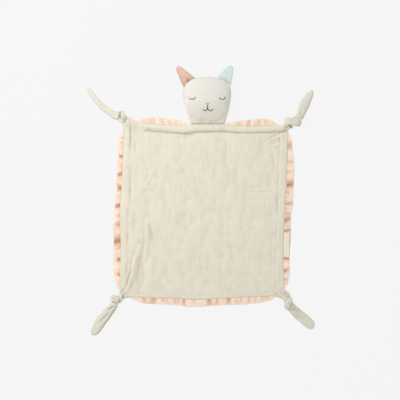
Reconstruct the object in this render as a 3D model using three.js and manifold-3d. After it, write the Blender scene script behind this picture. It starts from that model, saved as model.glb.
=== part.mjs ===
// A knotted comfort blanket: two layers of muslin sewn into a flat square, with a stuffed cat's
// head sewn to the top edge, a gathered trim along the edges and a knotted tail at every corner.
// It lies on its back. Millimetres, +Z up, +Y from the blanket to the head, and the origin is the
// middle of the blanket's underside.
import * as THREE from 'three';
import { mergeVertices } from 'three/addons/utils/BufferGeometryUtils.js';
import Module from 'manifold-3d';

const wasm = await Module();
wasm.setup();

// Cloth
const muslinThickness = 1.2; // one layer of double gauze
const layerGap = 0.3; // between two layers that lie on each other
const seamGap = 0.4; // between pieces that are sewn edge to edge

// Blanket
const blanketWidth = 297; // side seam to side seam
const blanketLength = 313; // bottom seam to top seam
const blanketLean = 6; // the top edge lies this far to the right of the bottom edge
const rollWidth = 12; // the soft roll that the front cloth makes along the top seam
const rollHeight = 3.4;
const waveHeight = 1.5; // the front cloth's broad folds
const waveLength = 118;
const gatherReach = 24; // how far from a corner the cloth is drawn towards its knot

// Trim, a narrow gathered frill
const trimThickness = 1;
const gatherPitch = 12.5; // from one gather to the next
const gatherHeight = 0.8;

// Label, a folded tape
const labelLength = 45;
const labelWidth = 9.5;
const tapeThickness = 0.5;
const labelFromBottom = 73; // the label's lower end, above the bottom seam
const labelSetBack = 2; // from the trim's inner edge

// Head
const headWidth = 86;
const headLength = 85; // neck seam to crown
const neckWidth = 60;
const headWidestAt = 50; // above the neck seam
const crownSharpness = 2.8; // 2 is a round crown, and more is a squarer one
const headAside = 3.7; // the head's centre line, to the right of the top edge's middle
const faceRise = 27; // the face's crown above the side seam
const backDrop = 22; // the back's crown below the side seam, before it flattens on the table
const sideSeamHeight = 19; // above the table
const neckHeight = 1.75;
const coverThickness = 1.5;
const fillingFromNeck = 9; // the filling stops short of the neck seam

// Ears
const earClothThickness = 0.75;
const earPuff = 1.6;
const earTipWidth = 4;

// Embroidery
const flossRadius = 0.6;
const eyeWidth = 11;
const eyeDrop = 4.4;
const eyeSpacing = 54;
const eyesAt = 48; // above the neck seam
const faceAside = -1.2; // the face sits a little left of the head's centre line
const noseWidth = 7;
const noseHeight = 4.6;
const noseAt = 38; // the nose's upper edge, above the neck seam
const mouthWidth = 18.5;
const mouthDrop = 4.2;
const mouthAt = 28.4;

// Knotted corners. Angles are anticlockwise from +X, in degrees. The knot lies `reach` from the
// seam corner, towards `towards`. The tail leaves it at `heading` and bends by `bend`.
const tailThickness = 7; // both layers and the air between them
const cornerTails = [
  {
    name: 'top_left', sideX: -1, sideY: 1, towards: 110, reach: 15.4, knotRadius: 9,
    heading: 153, bend: -28, length: 79, width: 12.5,
  },
  {
    name: 'top_right', sideX: 1, sideY: 1, towards: 27, reach: 12, knotRadius: 10.5,
    heading: 70, bend: -14, length: 66, width: 17,
  },
  {
    name: 'bottom_left', sideX: -1, sideY: -1, towards: 215, reach: 7, knotRadius: 9.5,
    heading: 224, bend: 26, length: 80, width: 20.5,
  },
  {
    name: 'bottom_right', sideX: 1, sideY: -1, towards: 310, reach: 11, knotRadius: 10,
    heading: 316, bend: 2, length: 65, width: 18,
  },
];

const halfWidth = blanketWidth / 2;
const halfLength = blanketLength / 2;
const frontUnderside = muslinThickness + layerGap;
const frontTop = frontUnderside + muslinThickness;

const smooth = (t) => {
  const c = THREE.MathUtils.clamp(t, 0, 1);
  return c * c * (3 - 2 * c);
};
const spread = (count) => Array.from({ length: count + 1 }, (_, i) => i / count);
const material = (color, roughness) => new THREE.MeshStandardMaterial({ color, roughness, metalness: 0 });

const creamMuslin = material(0xe4dac4, 0.95);
const creamCotton = material(0xebe8e0, 0.9);
const peachTrim = material(0xf3d3b8, 0.85);
const peachFelt = material(0xdcb096, 0.95);
const mintFelt = material(0xcfe2dc, 0.95);
const fibrefill = material(0xf4f3ef, 1);
const greyFloss = material(0x57524e, 0.8);
const pinkFloss = material(0xc99a8b, 0.8);
const tape = material(0xe3dac8, 0.8);

// A closed solid between an upper and a lower surface. Each is a function of (u, v) that gives
// [x, y, z]; columns and rows are the values of u and v that carry its points.
function solidBetween(upper, lower, columns, rows) {
  const points = [];
  for (const surface of [upper, lower]) {
    for (const v of rows) {
      for (const u of columns) points.push(...surface(u, v));
    }
  }
  const wide = columns.length;
  const below = wide * rows.length;
  const at = (i, j) => j * wide + i;
  const faces = [];
  const quad = (a, b, c, d) => faces.push(a, b, c, a, c, d);
  for (let j = 0; j + 1 < rows.length; j += 1) {
    for (let i = 0; i + 1 < wide; i += 1) {
      quad(at(i, j), at(i + 1, j), at(i + 1, j + 1), at(i, j + 1));
      quad(below + at(i, j + 1), below + at(i + 1, j + 1), below + at(i + 1, j), below + at(i, j));
    }
  }
  const wall = (a, b) => quad(a, below + a, below + b, b);
  for (let i = 0; i + 1 < wide; i += 1) {
    wall(at(i, 0), at(i + 1, 0));
    wall(at(i + 1, rows.length - 1), at(i, rows.length - 1));
  }
  for (let j = 0; j + 1 < rows.length; j += 1) {
    wall(at(0, j + 1), at(0, j));
    wall(at(wide - 1, j), at(wide - 1, j + 1));
  }
  const geometry = new THREE.BufferGeometry();
  geometry.setAttribute('position', new THREE.Float32BufferAttribute(points, 3));
  geometry.setIndex(faces);
  return geometry;
}

function toSolid(geometry) {
  const bare = geometry.clone();
  bare.deleteAttribute('normal');
  bare.deleteAttribute('uv');
  const merged = mergeVertices(bare, 1e-4);
  return new wasm.Manifold(new wasm.Mesh({
    numProp: 3,
    vertProperties: new Float32Array(merged.attributes.position.array),
    triVerts: new Uint32Array(merged.index.array),
  }));
}

function toGeometry(solid) {
  const mesh = solid.getMesh();
  const geometry = new THREE.BufferGeometry();
  geometry.setAttribute('position', new THREE.BufferAttribute(mesh.vertProperties, 3));
  geometry.setIndex(new THREE.BufferAttribute(mesh.triVerts, 1));
  return geometry;
}

function piece(name, geometry, look) {
  const made = new THREE.Mesh(geometry, look);
  made.name = name;
  return made;
}

// The blanket's corners and knots

const seamCorner = (sideX, sideY) => new THREE.Vector2(
  sideX * halfWidth + (sideY * blanketLean) / 2,
  sideY * halfLength,
);

const heading = (degrees) => {
  const angle = THREE.MathUtils.degToRad(degrees);
  return new THREE.Vector2(Math.cos(angle), Math.sin(angle));
};

const knotSquash = 0.82; // a knot is flatter than it is wide
const knotCentre = (corner) => seamCorner(corner.sideX, corner.sideY)
  .addScaledVector(heading(corner.towards), corner.reach);
const knotHeight = (corner) => corner.knotRadius * knotSquash;

// Where a point of the flat blanket lies once the corners are drawn into their knots.
function drawnIn(x, y) {
  const place = new THREE.Vector3(x, y, 0);
  for (const corner of cornerTails) {
    const from = seamCorner(corner.sideX, corner.sideY);
    const share = 1 - smooth(from.distanceTo(place) / gatherReach);
    const pull = knotCentre(corner).sub(from);
    place.x += pull.x * share;
    place.y += pull.y * share;
    place.z += (knotHeight(corner) - frontTop / 2) * share;
  }
  return place;
}

// u runs from the left edge to the right one and v from the bottom edge to the top one.
function blanketPoint(u, v) {
  const y = (2 * v - 1) * halfLength;
  const x = (2 * u - 1) * halfWidth + ((2 * v - 1) * blanketLean) / 2;
  return { x, y, drawn: drawnIn(x, y) };
}

// How far the front cloth stands off the back one.
function frontPuff(u, v) {
  const fromTop = (1 - v) * blanketLength;
  const nearestSide = Math.min(u, 1 - u) * blanketWidth;
  const edges = smooth(nearestSide / 30);
  const roll = fromTop < rollWidth ? rollHeight * Math.sin((Math.PI * fromTop) / rollWidth) : 0;
  const nearestEnd = Math.min(fromTop - rollWidth, v * blanketLength);
  const across = (u * blanketWidth) / waveLength + v;
  const wave = waveHeight * (1 + Math.sin(2 * Math.PI * across)) * smooth(nearestEnd / 30);
  return edges * (roll + wave);
}

// Fractions of a length with some set in from both ends, in millimetres, and equal steps between.
function ladder(length, ends, steps) {
  const last = ends.at(-1);
  const near = ends.map((d) => d / length);
  const middle = spread(steps).slice(1, -1).map((t) => (last + t * (length - 2 * last)) / length);
  return [...near, ...middle, ...near.map((t) => 1 - t).reverse()];
}

const edgeSteps = [0, 1 / 6, 1 / 3, 1 / 2, 2 / 3, 5 / 6, 1].map((share) => share * gatherReach);
const panelColumns = ladder(blanketWidth, edgeSteps, 12);
const panelRows = ladder(blanketLength, edgeSteps, 9);

// Cuts the cloth back round every knot, so that the knot can turn in its place.
function cutForKnots(geometry) {
  let solid = toSolid(geometry);
  for (const corner of cornerTails) {
    const centre = knotCentre(corner);
    const cutter = new THREE.CylinderGeometry(
      corner.knotRadius + seamGap,
      corner.knotRadius + seamGap,
      8 * corner.knotRadius,
      32,
    );
    cutter.rotateX(Math.PI / 2);
    cutter.translate(centre.x, centre.y, 0);
    solid = solid.subtract(toSolid(cutter));
  }
  const whole = solid.decompose().sort((a, b) => b.volume() - a.volume())[0];
  return toGeometry(whole);
}

function backPanel() {
  const surface = (height) => (u, v) => {
    const { drawn } = blanketPoint(u, v);
    return [drawn.x, drawn.y, height + drawn.z];
  };
  const columns = ladder(blanketWidth, edgeSteps, 4);
  const rows = ladder(blanketLength, edgeSteps, 4);
  const cloth = solidBetween(surface(muslinThickness), surface(0), columns, rows);
  return piece('back_panel', cutForKnots(cloth), creamMuslin);
}

function frontPanel() {
  const surface = (height) => (u, v) => {
    const { drawn } = blanketPoint(u, v);
    return [drawn.x, drawn.y, height + drawn.z + frontPuff(u, v)];
  };
  const cloth = solidBetween(surface(frontTop), surface(frontUnderside), panelColumns, panelRows);
  return piece('front_panel', cutForKnots(cloth), creamMuslin);
}

// The trims. Each runs along an edge from one share of it to another, counted anticlockwise, and
// is `widths` wide near its two ends.
const headCentreX = blanketLean / 2 + headAside;
const alongTop = (x) => (halfWidth + blanketLean / 2 - x) / blanketWidth;
const trims = [
  { name: 'trim_right', side: 'right', from: 0.075, to: 0.93, widths: [10, 10.5] },
  {
    name: 'trim_top_right', side: 'top', from: 0.085,
    to: alongTop(headCentreX + neckWidth / 2 + 5), widths: [12, 6],
  },
  {
    name: 'trim_top_left', side: 'top',
    from: alongTop(headCentreX - neckWidth / 2 - 5), to: 0.915, widths: [6, 13.5],
  },
  { name: 'trim_left', side: 'left', from: 0.07, to: 0.93, widths: [8, 12] },
  { name: 'trim_bottom', side: 'bottom', from: 0.075, to: 0.915, widths: [13, 10.5] },
];

const edgeEnds = {
  right: [seamCorner(1, -1), seamCorner(1, 1)],
  top: [seamCorner(1, 1), seamCorner(-1, 1)],
  left: [seamCorner(-1, 1), seamCorner(-1, -1)],
  bottom: [seamCorner(-1, -1), seamCorner(1, -1)],
};

// The sewn edge, drawn in towards its knots as the cloth is, with straight stretches between the
// cloth's own points.
function edgePoint(side, share) {
  const [start, end] = edgeEnds[side];
  const steps = side === 'left' || side === 'right' ? panelRows : panelColumns;
  const next = Math.max(1, steps.findIndex((step) => step >= share));
  const [before, after] = [steps[next - 1], steps[next]].map((step) => {
    const seam = start.clone().lerp(end, step);
    return drawnIn(seam.x, seam.y);
  });
  return before.lerp(after, (share - steps[next - 1]) / (steps[next] - steps[next - 1]));
}

const trimInnerTop = frontUnderside + muslinThickness / 2;
const trimOuterBase = 0.15;

function trimPiece({ name, side, from, to, widths }) {
  const [start, end] = edgeEnds[side];
  const along = end.clone().sub(start);
  const outward = new THREE.Vector2(along.y, -along.x).normalize();
  const length = along.length() * (to - from);
  const gathers = Math.max(2, Math.round(length / gatherPitch));
  const point = (u, v, top) => {
    const seam = edgePoint(side, from + (to - from) * v);
    const place = new THREE.Vector2(seam.x, seam.y);
    const rounded = Math.max(0.12, Math.sin(Math.PI * v) ** 0.45);
    const width = THREE.MathUtils.lerp(widths[0], widths[1], v) * rounded;
    place.addScaledVector(outward, seamGap + width * u);
    const wave = gatherHeight * (1 + Math.sin(2 * Math.PI * gathers * v)) * u;
    const inner = trimInnerTop - trimThickness;
    const height = THREE.MathUtils.lerp(inner, trimOuterBase, u) + wave;
    return [place.x, place.y, height + (top ? trimThickness : 0)];
  };
  const cloth = solidBetween(
    (u, v) => point(u, v, true),
    (u, v) => point(u, v, false),
    spread(1),
    spread(4 * gathers),
  );
  return piece(name, cloth, peachTrim);
}

// The label is one tape, folded over, with both ends towards the seam.
function label() {
  const [start, end] = edgeEnds.right;
  const along = end.clone().sub(start).normalize();
  const outward = new THREE.Vector2(along.y, -along.x);
  const fold = layerGap / 2 + tapeThickness;
  const section = new THREE.Shape();
  section.moveTo(0, -fold);
  section.lineTo(labelWidth - fold, -fold);
  section.absarc(labelWidth - fold, 0, fold, -Math.PI / 2, Math.PI / 2, false);
  section.lineTo(0, fold);
  section.lineTo(0, layerGap / 2);
  section.lineTo(labelWidth - fold, layerGap / 2);
  section.absarc(labelWidth - fold, 0, layerGap / 2, Math.PI / 2, -Math.PI / 2, true);
  section.lineTo(0, -layerGap / 2);
  const geometry = new THREE.ExtrudeGeometry(section, {
    depth: labelLength, bevelEnabled: false, curveSegments: 5,
  });
  const place = start.clone()
    .addScaledVector(along, labelFromBottom + labelLength)
    .addScaledVector(outward, seamGap + labelSetBack);
  const trimPeak = trimOuterBase + trimThickness + 2 * gatherHeight;
  const frame = new THREE.Matrix4().makeBasis(
    new THREE.Vector3(outward.x, outward.y, 0),
    new THREE.Vector3(0, 0, 1),
    new THREE.Vector3(-along.x, -along.y, 0),
  );
  frame.setPosition(place.x, place.y, trimPeak + layerGap + fold);
  geometry.applyMatrix4(frame);
  return piece('side_label', geometry, tape);
}

// The head, in its own frame: x from its centre line and y from the neck seam

function headHalfWidth(y) {
  if (y < headWidestAt) {
    const share = Math.sin((Math.PI / 2) * Math.max(0, y / headWidestAt)) ** 1.4;
    return THREE.MathUtils.lerp(neckWidth / 2, headWidth / 2, share);
  }
  const share = Math.min(1, (y - headWidestAt) / (headLength - headWidestAt));
  return (headWidth / 2) * (1 - share ** crownSharpness) ** (1 / crownSharpness);
}

// How full the stuffing is along the centre line: nothing at the neck seam and at the crown.
function fullness(y) {
  if (y < headWidestAt) return Math.sin((Math.PI / 2) * Math.max(0, y / headWidestAt)) ** 1.5;
  const share = Math.min(1, (y - headWidestAt) / (headLength - headWidestAt));
  return Math.sqrt(1 - share ** 2.2);
}

const seamPlane = (y) => THREE.MathUtils.lerp(neckHeight, sideSeamHeight, smooth(y / 42));
const rim = layerGap / 2; // a cover's edge lies this far from the side seam's plane

// A point of the stuffed shape, `inset` inside the covers' outer face and at least `fromNeck` from
// the neck seam. side is 1 for the face and -1 for the back.
function headPoint(u, v, side, inset, fromNeck) {
  const outerY = (1 - (1 - v) ** 1.7) * headLength * 0.995;
  const y = THREE.MathUtils.mapLinear(outerY, 0, headLength, fromNeck, headLength - inset);
  const across = (Math.PI / 2) * (2 * u - 1);
  const x = (headHalfWidth(outerY) - inset) * Math.sin(across);
  const depth = (side > 0 ? faceRise : backDrop) - inset - rim;
  const z = seamPlane(y) + side * (rim + depth * Math.cos(across) * fullness(outerY));
  return [x, y, side > 0 ? z : Math.max(inset, z)];
}

// The height of the face's cover at a point of the head's frame.
function faceHeight(x, y) {
  const round = Math.sqrt(Math.max(0, 1 - (x / headHalfWidth(y)) ** 2));
  return seamPlane(y) + rim + (faceRise - rim) * round * fullness(y);
}

const headColumns = spread(18);
const headRows = spread(15);

function headCovers() {
  const outer = (side) => (u, v) => headPoint(u, v, side, 0, 0);
  const inner = (side) => (u, v) => headPoint(u, v, side, coverThickness, coverThickness);
  return [
    piece('head_front', solidBetween(outer(1), inner(1), headColumns, headRows), creamCotton),
    piece('head_back', solidBetween(inner(-1), outer(-1), headColumns, headRows), creamCotton),
  ];
}

function headFilling() {
  const inset = coverThickness + 3 * layerGap;
  const surface = (side) => (u, v) => headPoint(u, v, side, inset, fillingFromNeck);
  return piece(
    'head_filling',
    solidBetween(surface(1), surface(-1), headColumns, headRows),
    fibrefill,
  );
}

// A strand of embroidery floss that lies on the face along [x, y] points.
function stitch(points) {
  const course = new THREE.CatmullRomCurve3(points.map(([x, y]) => new THREE.Vector3(x, y, 0)));
  const lifted = course.getSpacedPoints(3 * points.length).map((p) => {
    const slope = (faceHeight(p.x + 1, p.y) - faceHeight(p.x - 1, p.y)) / 2;
    const rise = (faceHeight(p.x, p.y + 1) - faceHeight(p.x, p.y - 1)) / 2;
    const normal = new THREE.Vector3(-slope, -rise, 1).normalize();
    const onFace = new THREE.Vector3(p.x, p.y, faceHeight(p.x, p.y));
    return onFace.addScaledVector(normal, flossRadius + layerGap);
  });
  const section = new THREE.Shape();
  section.absarc(0, 0, flossRadius, 0, 2 * Math.PI, false);
  return new THREE.ExtrudeGeometry(section, {
    extrudePath: new THREE.CatmullRomCurve3(lifted),
    steps: 4 * points.length,
    curveSegments: 3,
    bevelEnabled: false,
  });
}

function eye(name, side) {
  const centre = faceAside + (side * eyeSpacing) / 2;
  const lid = spread(4).map((t) => [
    centre + (t - 0.5) * eyeWidth,
    eyesAt - eyeDrop * (1 - (2 * t - 1) ** 2),
  ]);
  return piece(name, stitch(lid), greyFloss);
}

function nose() {
  const surface = (height) => (u, v) => {
    const width = noseWidth * (0.18 + 0.82 * v ** 0.8);
    const x = faceAside + (u - 0.5) * width;
    const y = noseAt - noseHeight * (1 - v);
    return [x, y, faceHeight(x, y) + height];
  };
  const top = layerGap + 2 * flossRadius;
  return piece('nose', solidBetween(surface(top), surface(layerGap), spread(4), spread(3)), pinkFloss);
}

function mouth() {
  const quarter = mouthWidth / 4;
  const lips = [
    [-2 * quarter, mouthAt - mouthDrop * 0.3],
    [-1.7 * quarter, mouthAt - mouthDrop * 0.75],
    [-quarter, mouthAt - mouthDrop],
    [-0.35 * quarter, mouthAt - mouthDrop * 0.6],
    [0, mouthAt],
    [0.35 * quarter, mouthAt - mouthDrop * 0.6],
    [quarter, mouthAt - mouthDrop],
    [1.7 * quarter, mouthAt - mouthDrop * 0.75],
    [2 * quarter, mouthAt - mouthDrop * 0.3],
  ];
  const noseTip = noseAt - noseHeight;
  const stem = [
    [0, noseTip - seamGap],
    [0, (noseTip + mouthAt) / 2],
    [0, mouthAt - flossRadius],
  ];
  const [lipSolid, stemSolid] = [lips, stem]
    .map((points) => toSolid(stitch(points.map(([x, y]) => [x + faceAside, y]))));
  return piece('mouth', toGeometry(lipSolid.add(stemSolid)), greyFloss);
}

// The ears. Each is sewn into the side seam between its two feet. Their heights are counted down
// from the crown, and the tip stands `tipRise` above the crown and `tipAside` beyond the cheek.
const ears = [
  {
    name: 'ear_left', side: -1, outerFoot: 20, innerFoot: 3.2,
    tipAside: 9.5, tipRise: 17.5, look: peachFelt,
  },
  {
    name: 'ear_right', side: 1, outerFoot: 15.5, innerFoot: 1,
    tipAside: -2, tipRise: 19.5, look: mintFelt,
  },
];

// The point of the head's outline at height y, moved out square to the outline.
function outlinePoint(y, side, out) {
  const step = 0.05;
  const tangent = new THREE.Vector2(headHalfWidth(y + step) - headHalfWidth(y - step), 2 * step);
  const normal = new THREE.Vector2(tangent.y, -tangent.x).normalize();
  return new THREE.Vector2(side * (headHalfWidth(y) + out * normal.x), y + out * normal.y);
}

function earPieces({ name, side, outerFoot, innerFoot, tipAside, tipRise, look }) {
  const tip = new THREE.Vector2(side * (headWidth / 2 + tipAside), headLength + tipRise);
  const [outer, inner] = [headLength - outerFoot, headLength - innerFoot];
  const feet = side < 0 ? [outer, inner] : [inner, outer];
  const root = tip.clone().sub(outlinePoint((outer + inner) / 2, side, 0)).normalize();
  const across = new THREE.Vector2(root.y, -root.x);
  const layer = (height) => (u, v) => {
    const foot = outlinePoint(THREE.MathUtils.lerp(feet[0], feet[1], u), side, seamGap);
    const top = tip.clone().addScaledVector(across, (u - 0.5) * earTipWidth);
    const bow = Math.sin(Math.PI * v) * (2 * u - 1) * 0.9;
    const place = foot.lerp(top, v).addScaledVector(across, bow);
    const puff = earPuff * Math.sin(Math.PI * u) * Math.sin(Math.PI * 0.92 * v);
    return [place.x, place.y, sideSeamHeight + height(puff)];
  };
  const columns = spread(6);
  const rows = spread(7);
  const half = layerGap / 2;
  const outside = half + earClothThickness;
  return [
    piece(`${name}_front`, solidBetween(
      layer((puff) => outside + puff),
      layer((puff) => half + puff),
      columns,
      rows,
    ), look),
    piece(`${name}_back`, solidBetween(
      layer((puff) => -half - puff),
      layer((puff) => -outside - puff),
      columns,
      rows,
    ), creamCotton),
  ];
}

// The knots and tails

// A knot is a core along its tail, the squeezed cloth that comes into it from the blanket, and a
// turn of cloth wrapped round both.
function knot(corner) {
  const { name, knotRadius } = corner;
  const core = new THREE.SphereGeometry(1, 14, 10);
  core.scale(knotRadius, knotRadius * 0.74, knotRadius * 0.8);
  const neck = new THREE.SphereGeometry(1, 14, 10);
  neck.scale(knotRadius, knotRadius * 0.8, knotRadius * 0.6);
  neck.rotateZ(THREE.MathUtils.degToRad(corner.towards - corner.heading));
  const wrapThickness = 0.38;
  const wrap = new THREE.TorusGeometry(knotRadius * (1 - wrapThickness), knotRadius * wrapThickness, 8, 18);
  wrap.rotateY(Math.PI / 2);
  wrap.rotateZ(THREE.MathUtils.degToRad(28));
  const tied = toGeometry(toSolid(core).add(toSolid(neck)).add(toSolid(wrap)));
  const centre = knotCentre(corner);
  tied.scale(1, 1, knotSquash);
  tied.rotateZ(THREE.MathUtils.degToRad(corner.heading));
  tied.translate(centre.x, centre.y, knotHeight(corner));
  return piece(`knot_${name}`, tied, creamMuslin);
}

// The middle line of a tail, `distance` from the knot's centre, and the direction across it.
function tailCourse(corner, distance) {
  const centre = knotCentre(corner);
  const steps = 24;
  for (let i = 0; i < steps; i += 1) {
    const share = ((i + 0.5) / steps) * (distance / corner.length);
    centre.addScaledVector(heading(corner.heading + corner.bend * share), distance / steps);
  }
  const direction = heading(corner.heading + corner.bend * (distance / corner.length));
  return { middle: centre, across: new THREE.Vector2(direction.y, -direction.x) };
}

const tailRest = tailThickness / 2 - 0.6;

// Half of a tail's width: narrow at the knot, full from the middle on, and round at its end.
function tailHalfWidth(corner, share) {
  const swell = THREE.MathUtils.lerp(0.56, 1, smooth(share / 0.55));
  const tip = Math.max(0, (share - 0.72) / 0.28);
  return (corner.width / 2) * swell * Math.max(0.24, Math.sqrt(1 - tip ** 2.3));
}

function tailPieces(corner) {
  const start = corner.knotRadius + seamGap;
  const layer = (height) => (u, v) => {
    const share = v;
    const distance = THREE.MathUtils.lerp(start, corner.length, share);
    const { middle, across } = tailCourse(corner, distance);
    const half = tailHalfWidth(corner, share);
    const place = middle.addScaledVector(across, (2 * u - 1) * half);
    const level = THREE.MathUtils.lerp(knotHeight(corner), tailRest, smooth(share / 0.4));
    const narrow = half / (corner.width / 2);
    const puff = (tailThickness / 2 - muslinThickness) * Math.sin(Math.PI * u) * narrow;
    const z = level + height(puff);
    return [place.x, place.y, Math.max(0, z)];
  };
  const columns = spread(6);
  const rows = spread(12).map((t) => 1 - (1 - t) ** 1.35);
  const half = layerGap / 2;
  const outside = half + muslinThickness;
  return [
    piece(`tail_${corner.name}_front`, solidBetween(
      layer((puff) => outside + puff),
      layer((puff) => half + puff),
      columns,
      rows,
    ), creamMuslin),
    piece(`tail_${corner.name}_back`, solidBetween(
      layer((puff) => -half - puff * 0.55),
      layer((puff) => -outside - puff * 0.55),
      columns,
      rows,
    ), creamMuslin),
  ];
}

const head = new THREE.Group();
head.position.set(headCentreX, halfLength + seamGap, 0);
head.add(...headCovers(), headFilling());
head.add(eye('eye_left', -1), eye('eye_right', 1), nose(), mouth());
for (const ear of ears) head.add(...earPieces(ear));

const comfortBlanket = new THREE.Group();
comfortBlanket.add(backPanel(), frontPanel());
for (const trim of trims) comfortBlanket.add(trimPiece(trim));
comfortBlanket.add(label(), head);
for (const corner of cornerTails) comfortBlanket.add(knot(corner), ...tailPieces(corner));

export default comfortBlanket;
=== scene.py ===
import math
import bpy
import numpy as np
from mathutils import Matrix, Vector
from mathutils.bvhtree import BVHTree


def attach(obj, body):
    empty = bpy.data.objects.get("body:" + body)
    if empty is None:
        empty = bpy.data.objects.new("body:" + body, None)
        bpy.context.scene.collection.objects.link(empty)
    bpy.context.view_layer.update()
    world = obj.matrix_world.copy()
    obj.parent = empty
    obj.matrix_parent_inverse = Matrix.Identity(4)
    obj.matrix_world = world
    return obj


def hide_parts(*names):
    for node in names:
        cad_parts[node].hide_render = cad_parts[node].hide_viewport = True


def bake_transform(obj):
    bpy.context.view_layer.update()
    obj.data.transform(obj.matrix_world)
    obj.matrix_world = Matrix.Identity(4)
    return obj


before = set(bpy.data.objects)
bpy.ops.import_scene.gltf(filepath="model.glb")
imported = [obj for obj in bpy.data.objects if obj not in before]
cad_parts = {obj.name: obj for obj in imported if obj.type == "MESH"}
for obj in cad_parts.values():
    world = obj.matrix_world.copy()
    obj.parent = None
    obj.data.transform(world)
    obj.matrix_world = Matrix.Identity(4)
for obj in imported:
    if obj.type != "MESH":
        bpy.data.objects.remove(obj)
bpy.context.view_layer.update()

# A comfort blanket that lies on a table, seen from straight above. Lengths are in millimetres from
# the middle of its underside, and become metres in makePiece.


def clamp(t):
    return np.clip(t, 0, 1)


def smooth(t):
    t = clamp(t)
    return t * t * (3 - 2 * t)


def lerp(a, b, t):
    return a + (b - a) * t


def bell(away, width, power=2):  # 1 in the middle, falling away on both sides
    return np.exp(-np.abs(away / width) ** power)


def dome(t, power=2):  # 1 in the middle, 0 where t is -1 or 1
    return np.sqrt(clamp(1 - t ** power))


def fading(share, least):  # how strong a fold is along its line
    return least + (1 - least) * np.sin(math.pi * np.clip(share, 0.02, 0.98)) ** 0.6


def settled(height, floor, soft):  # laid on a floor, which it meets softly
    return floor + np.logaddexp(0, (height - floor) / soft) * soft


def together(*grids):
    return np.stack(np.broadcast_arrays(*grids), -1)


def unit(vectors):
    return vectors / np.maximum(np.linalg.norm(vectors, axis=-1, keepdims=True), 1e-9)


def bearing(degrees):
    return np.array([math.cos(math.radians(degrees)), math.sin(math.radians(degrees))])


def through(points, at):  # a soft line through given (place, value) points
    places, values = np.array(sorted(points), float).T
    at = np.asarray(at, float)
    left = np.clip(np.searchsorted(places, at) - 1, 0, len(places) - 2)
    share = smooth((at - places[left]) / (places[left + 1] - places[left]))
    return lerp(values[left], values[left + 1], share)


def mottle(x, y, seed):  # smooth noise, from -1 to 1, one bump to a unit
    cells = 128
    turn = np.random.default_rng(seed).random((cells, cells)) * 2 * math.pi
    xi, yi = np.floor(x).astype(int), np.floor(y).astype(int)
    fx, fy = x - xi, y - yi

    def corner(i, j):
        angle = turn[(xi + i) % cells, (yi + j) % cells]
        return (fx - i) * np.cos(angle) + (fy - j) * np.sin(angle)

    low = lerp(corner(0, 0), corner(1, 0), smooth(fx))
    high = lerp(corner(0, 1), corner(1, 1), smooth(fx))
    return 1.5 * lerp(low, high, smooth(fy))


def alongLine(x, y, points):  # signed distance to a line, + on its left, and the share along it
    best = np.full(np.shape(x), 1e9)
    side, share = np.zeros_like(best), np.zeros_like(best)
    points = np.array(points, float)
    steps = np.hypot(*np.diff(points, axis=0).T)
    for k, (a, b) in enumerate(zip(points[:-1], points[1:])):
        d = (b - a) / steps[k]
        t = np.clip((x - a[0]) * d[0] + (y - a[1]) * d[1], 0, steps[k])
        away = np.hypot(x - a[0] - t * d[0], y - a[1] - t * d[1])
        near = away < best
        best = np.where(near, away, best)
        side = np.where(near, np.sign(d[0] * (y - a[1]) - d[1] * (x - a[0])), side)
        share = np.where(near, (steps[:k].sum() + t) / steps.sum(), share)
    return best * side, share


def evenly(course, count):  # a line's points, spaced out again
    lengths = np.r_[0, np.cumsum(np.linalg.norm(np.diff(course, axis=0), axis=1))]
    at = np.linspace(0, lengths[-1], count)
    return np.stack([np.interp(at, lengths, course[:, k]) for k in range(course.shape[1])], 1)


def neighbours(grid):
    return grid[:-2, 1:-1] + grid[2:, 1:-1] + grid[1:-1, :-2] + grid[1:-1, 2:]


def hollows(height, rounds, depth):  # 1 where a surface lies `depth` below its surroundings
    around = height
    for _ in range(rounds):
        around = (neighbours(np.pad(around, 1, mode="edge")) + 2 * around) / 6
    return clamp((around - height) / depth)


def makePiece(name, points, faces, look, nodes, uv, paintedShadeAndTone=None):
    mesh = bpy.data.meshes.new(name)
    mesh.from_pydata((np.asarray(points, float) * 0.001).tolist(), [], [list(map(int, f)) for f in faces])
    mesh.polygons.foreach_set("use_smooth", [True] * len(mesh.polygons))
    corners = np.empty(len(mesh.loops), int)
    mesh.loops.foreach_get("vertex_index", corners)
    layer = mesh.uv_layers.new(name="cloth")
    layer.data.foreach_set("uv", (np.asarray(uv, float)[corners] * 0.001).ravel())
    # the share of painted shade, with some tone at random, by which the material mixes its colour towards its fold
    # colour
    if paintedShadeAndTone is not None:
        layer = mesh.attributes.new("paintedShadeAndTone", "FLOAT", "POINT")
        layer.data.foreach_set("value", np.asarray(paintedShadeAndTone, float).ravel())
    mesh.materials.append(look)
    piece = bpy.data.objects.new(name, mesh)
    bpy.context.collection.objects.link(piece)
    if nodes:
        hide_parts(*nodes)
    return piece


def quads(index):
    return np.stack([index[:-1, :-1], index[:-1, 1:], index[1:, 1:], index[1:, :-1]], -1).reshape(-1, 4)


def gridFaces(rows, columns, first=0, flip=False):
    faces = quads(first + np.arange(rows * columns).reshape(rows, columns))
    return faces[:, ::-1] if flip else faces


def layeredFaces(rows, columns):  # an upper grid, a lower one and the walls between them
    index = np.arange(rows * columns).reshape(rows, columns)
    rim = np.concatenate([index[0, :-1], index[:-1, -1], index[-1, :0:-1], index[:0:-1, 0]])
    after = np.roll(rim, -1)
    below = rows * columns
    walls = np.stack([after, rim, rim + below, after + below], -1)
    return np.concatenate([gridFaces(rows, columns), gridFaces(rows, columns, below, True), walls])


def layeredPiece(name, upper, lower, look, nodes, uv, paintedShadeAndTone=None):
    rows, columns = upper.shape[:2]
    points = np.concatenate([upper.reshape(-1, 3), lower.reshape(-1, 3)])
    both = lambda grid: None if grid is None else np.concatenate([grid.reshape(rows * columns, -1)] * 2)
    return makePiece(name, points, layeredFaces(rows, columns), look, nodes, both(uv), both(paintedShadeAndTone))


def ringAngles(count):
    return np.linspace(0, 2 * math.pi, count, endpoint=False)


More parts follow.
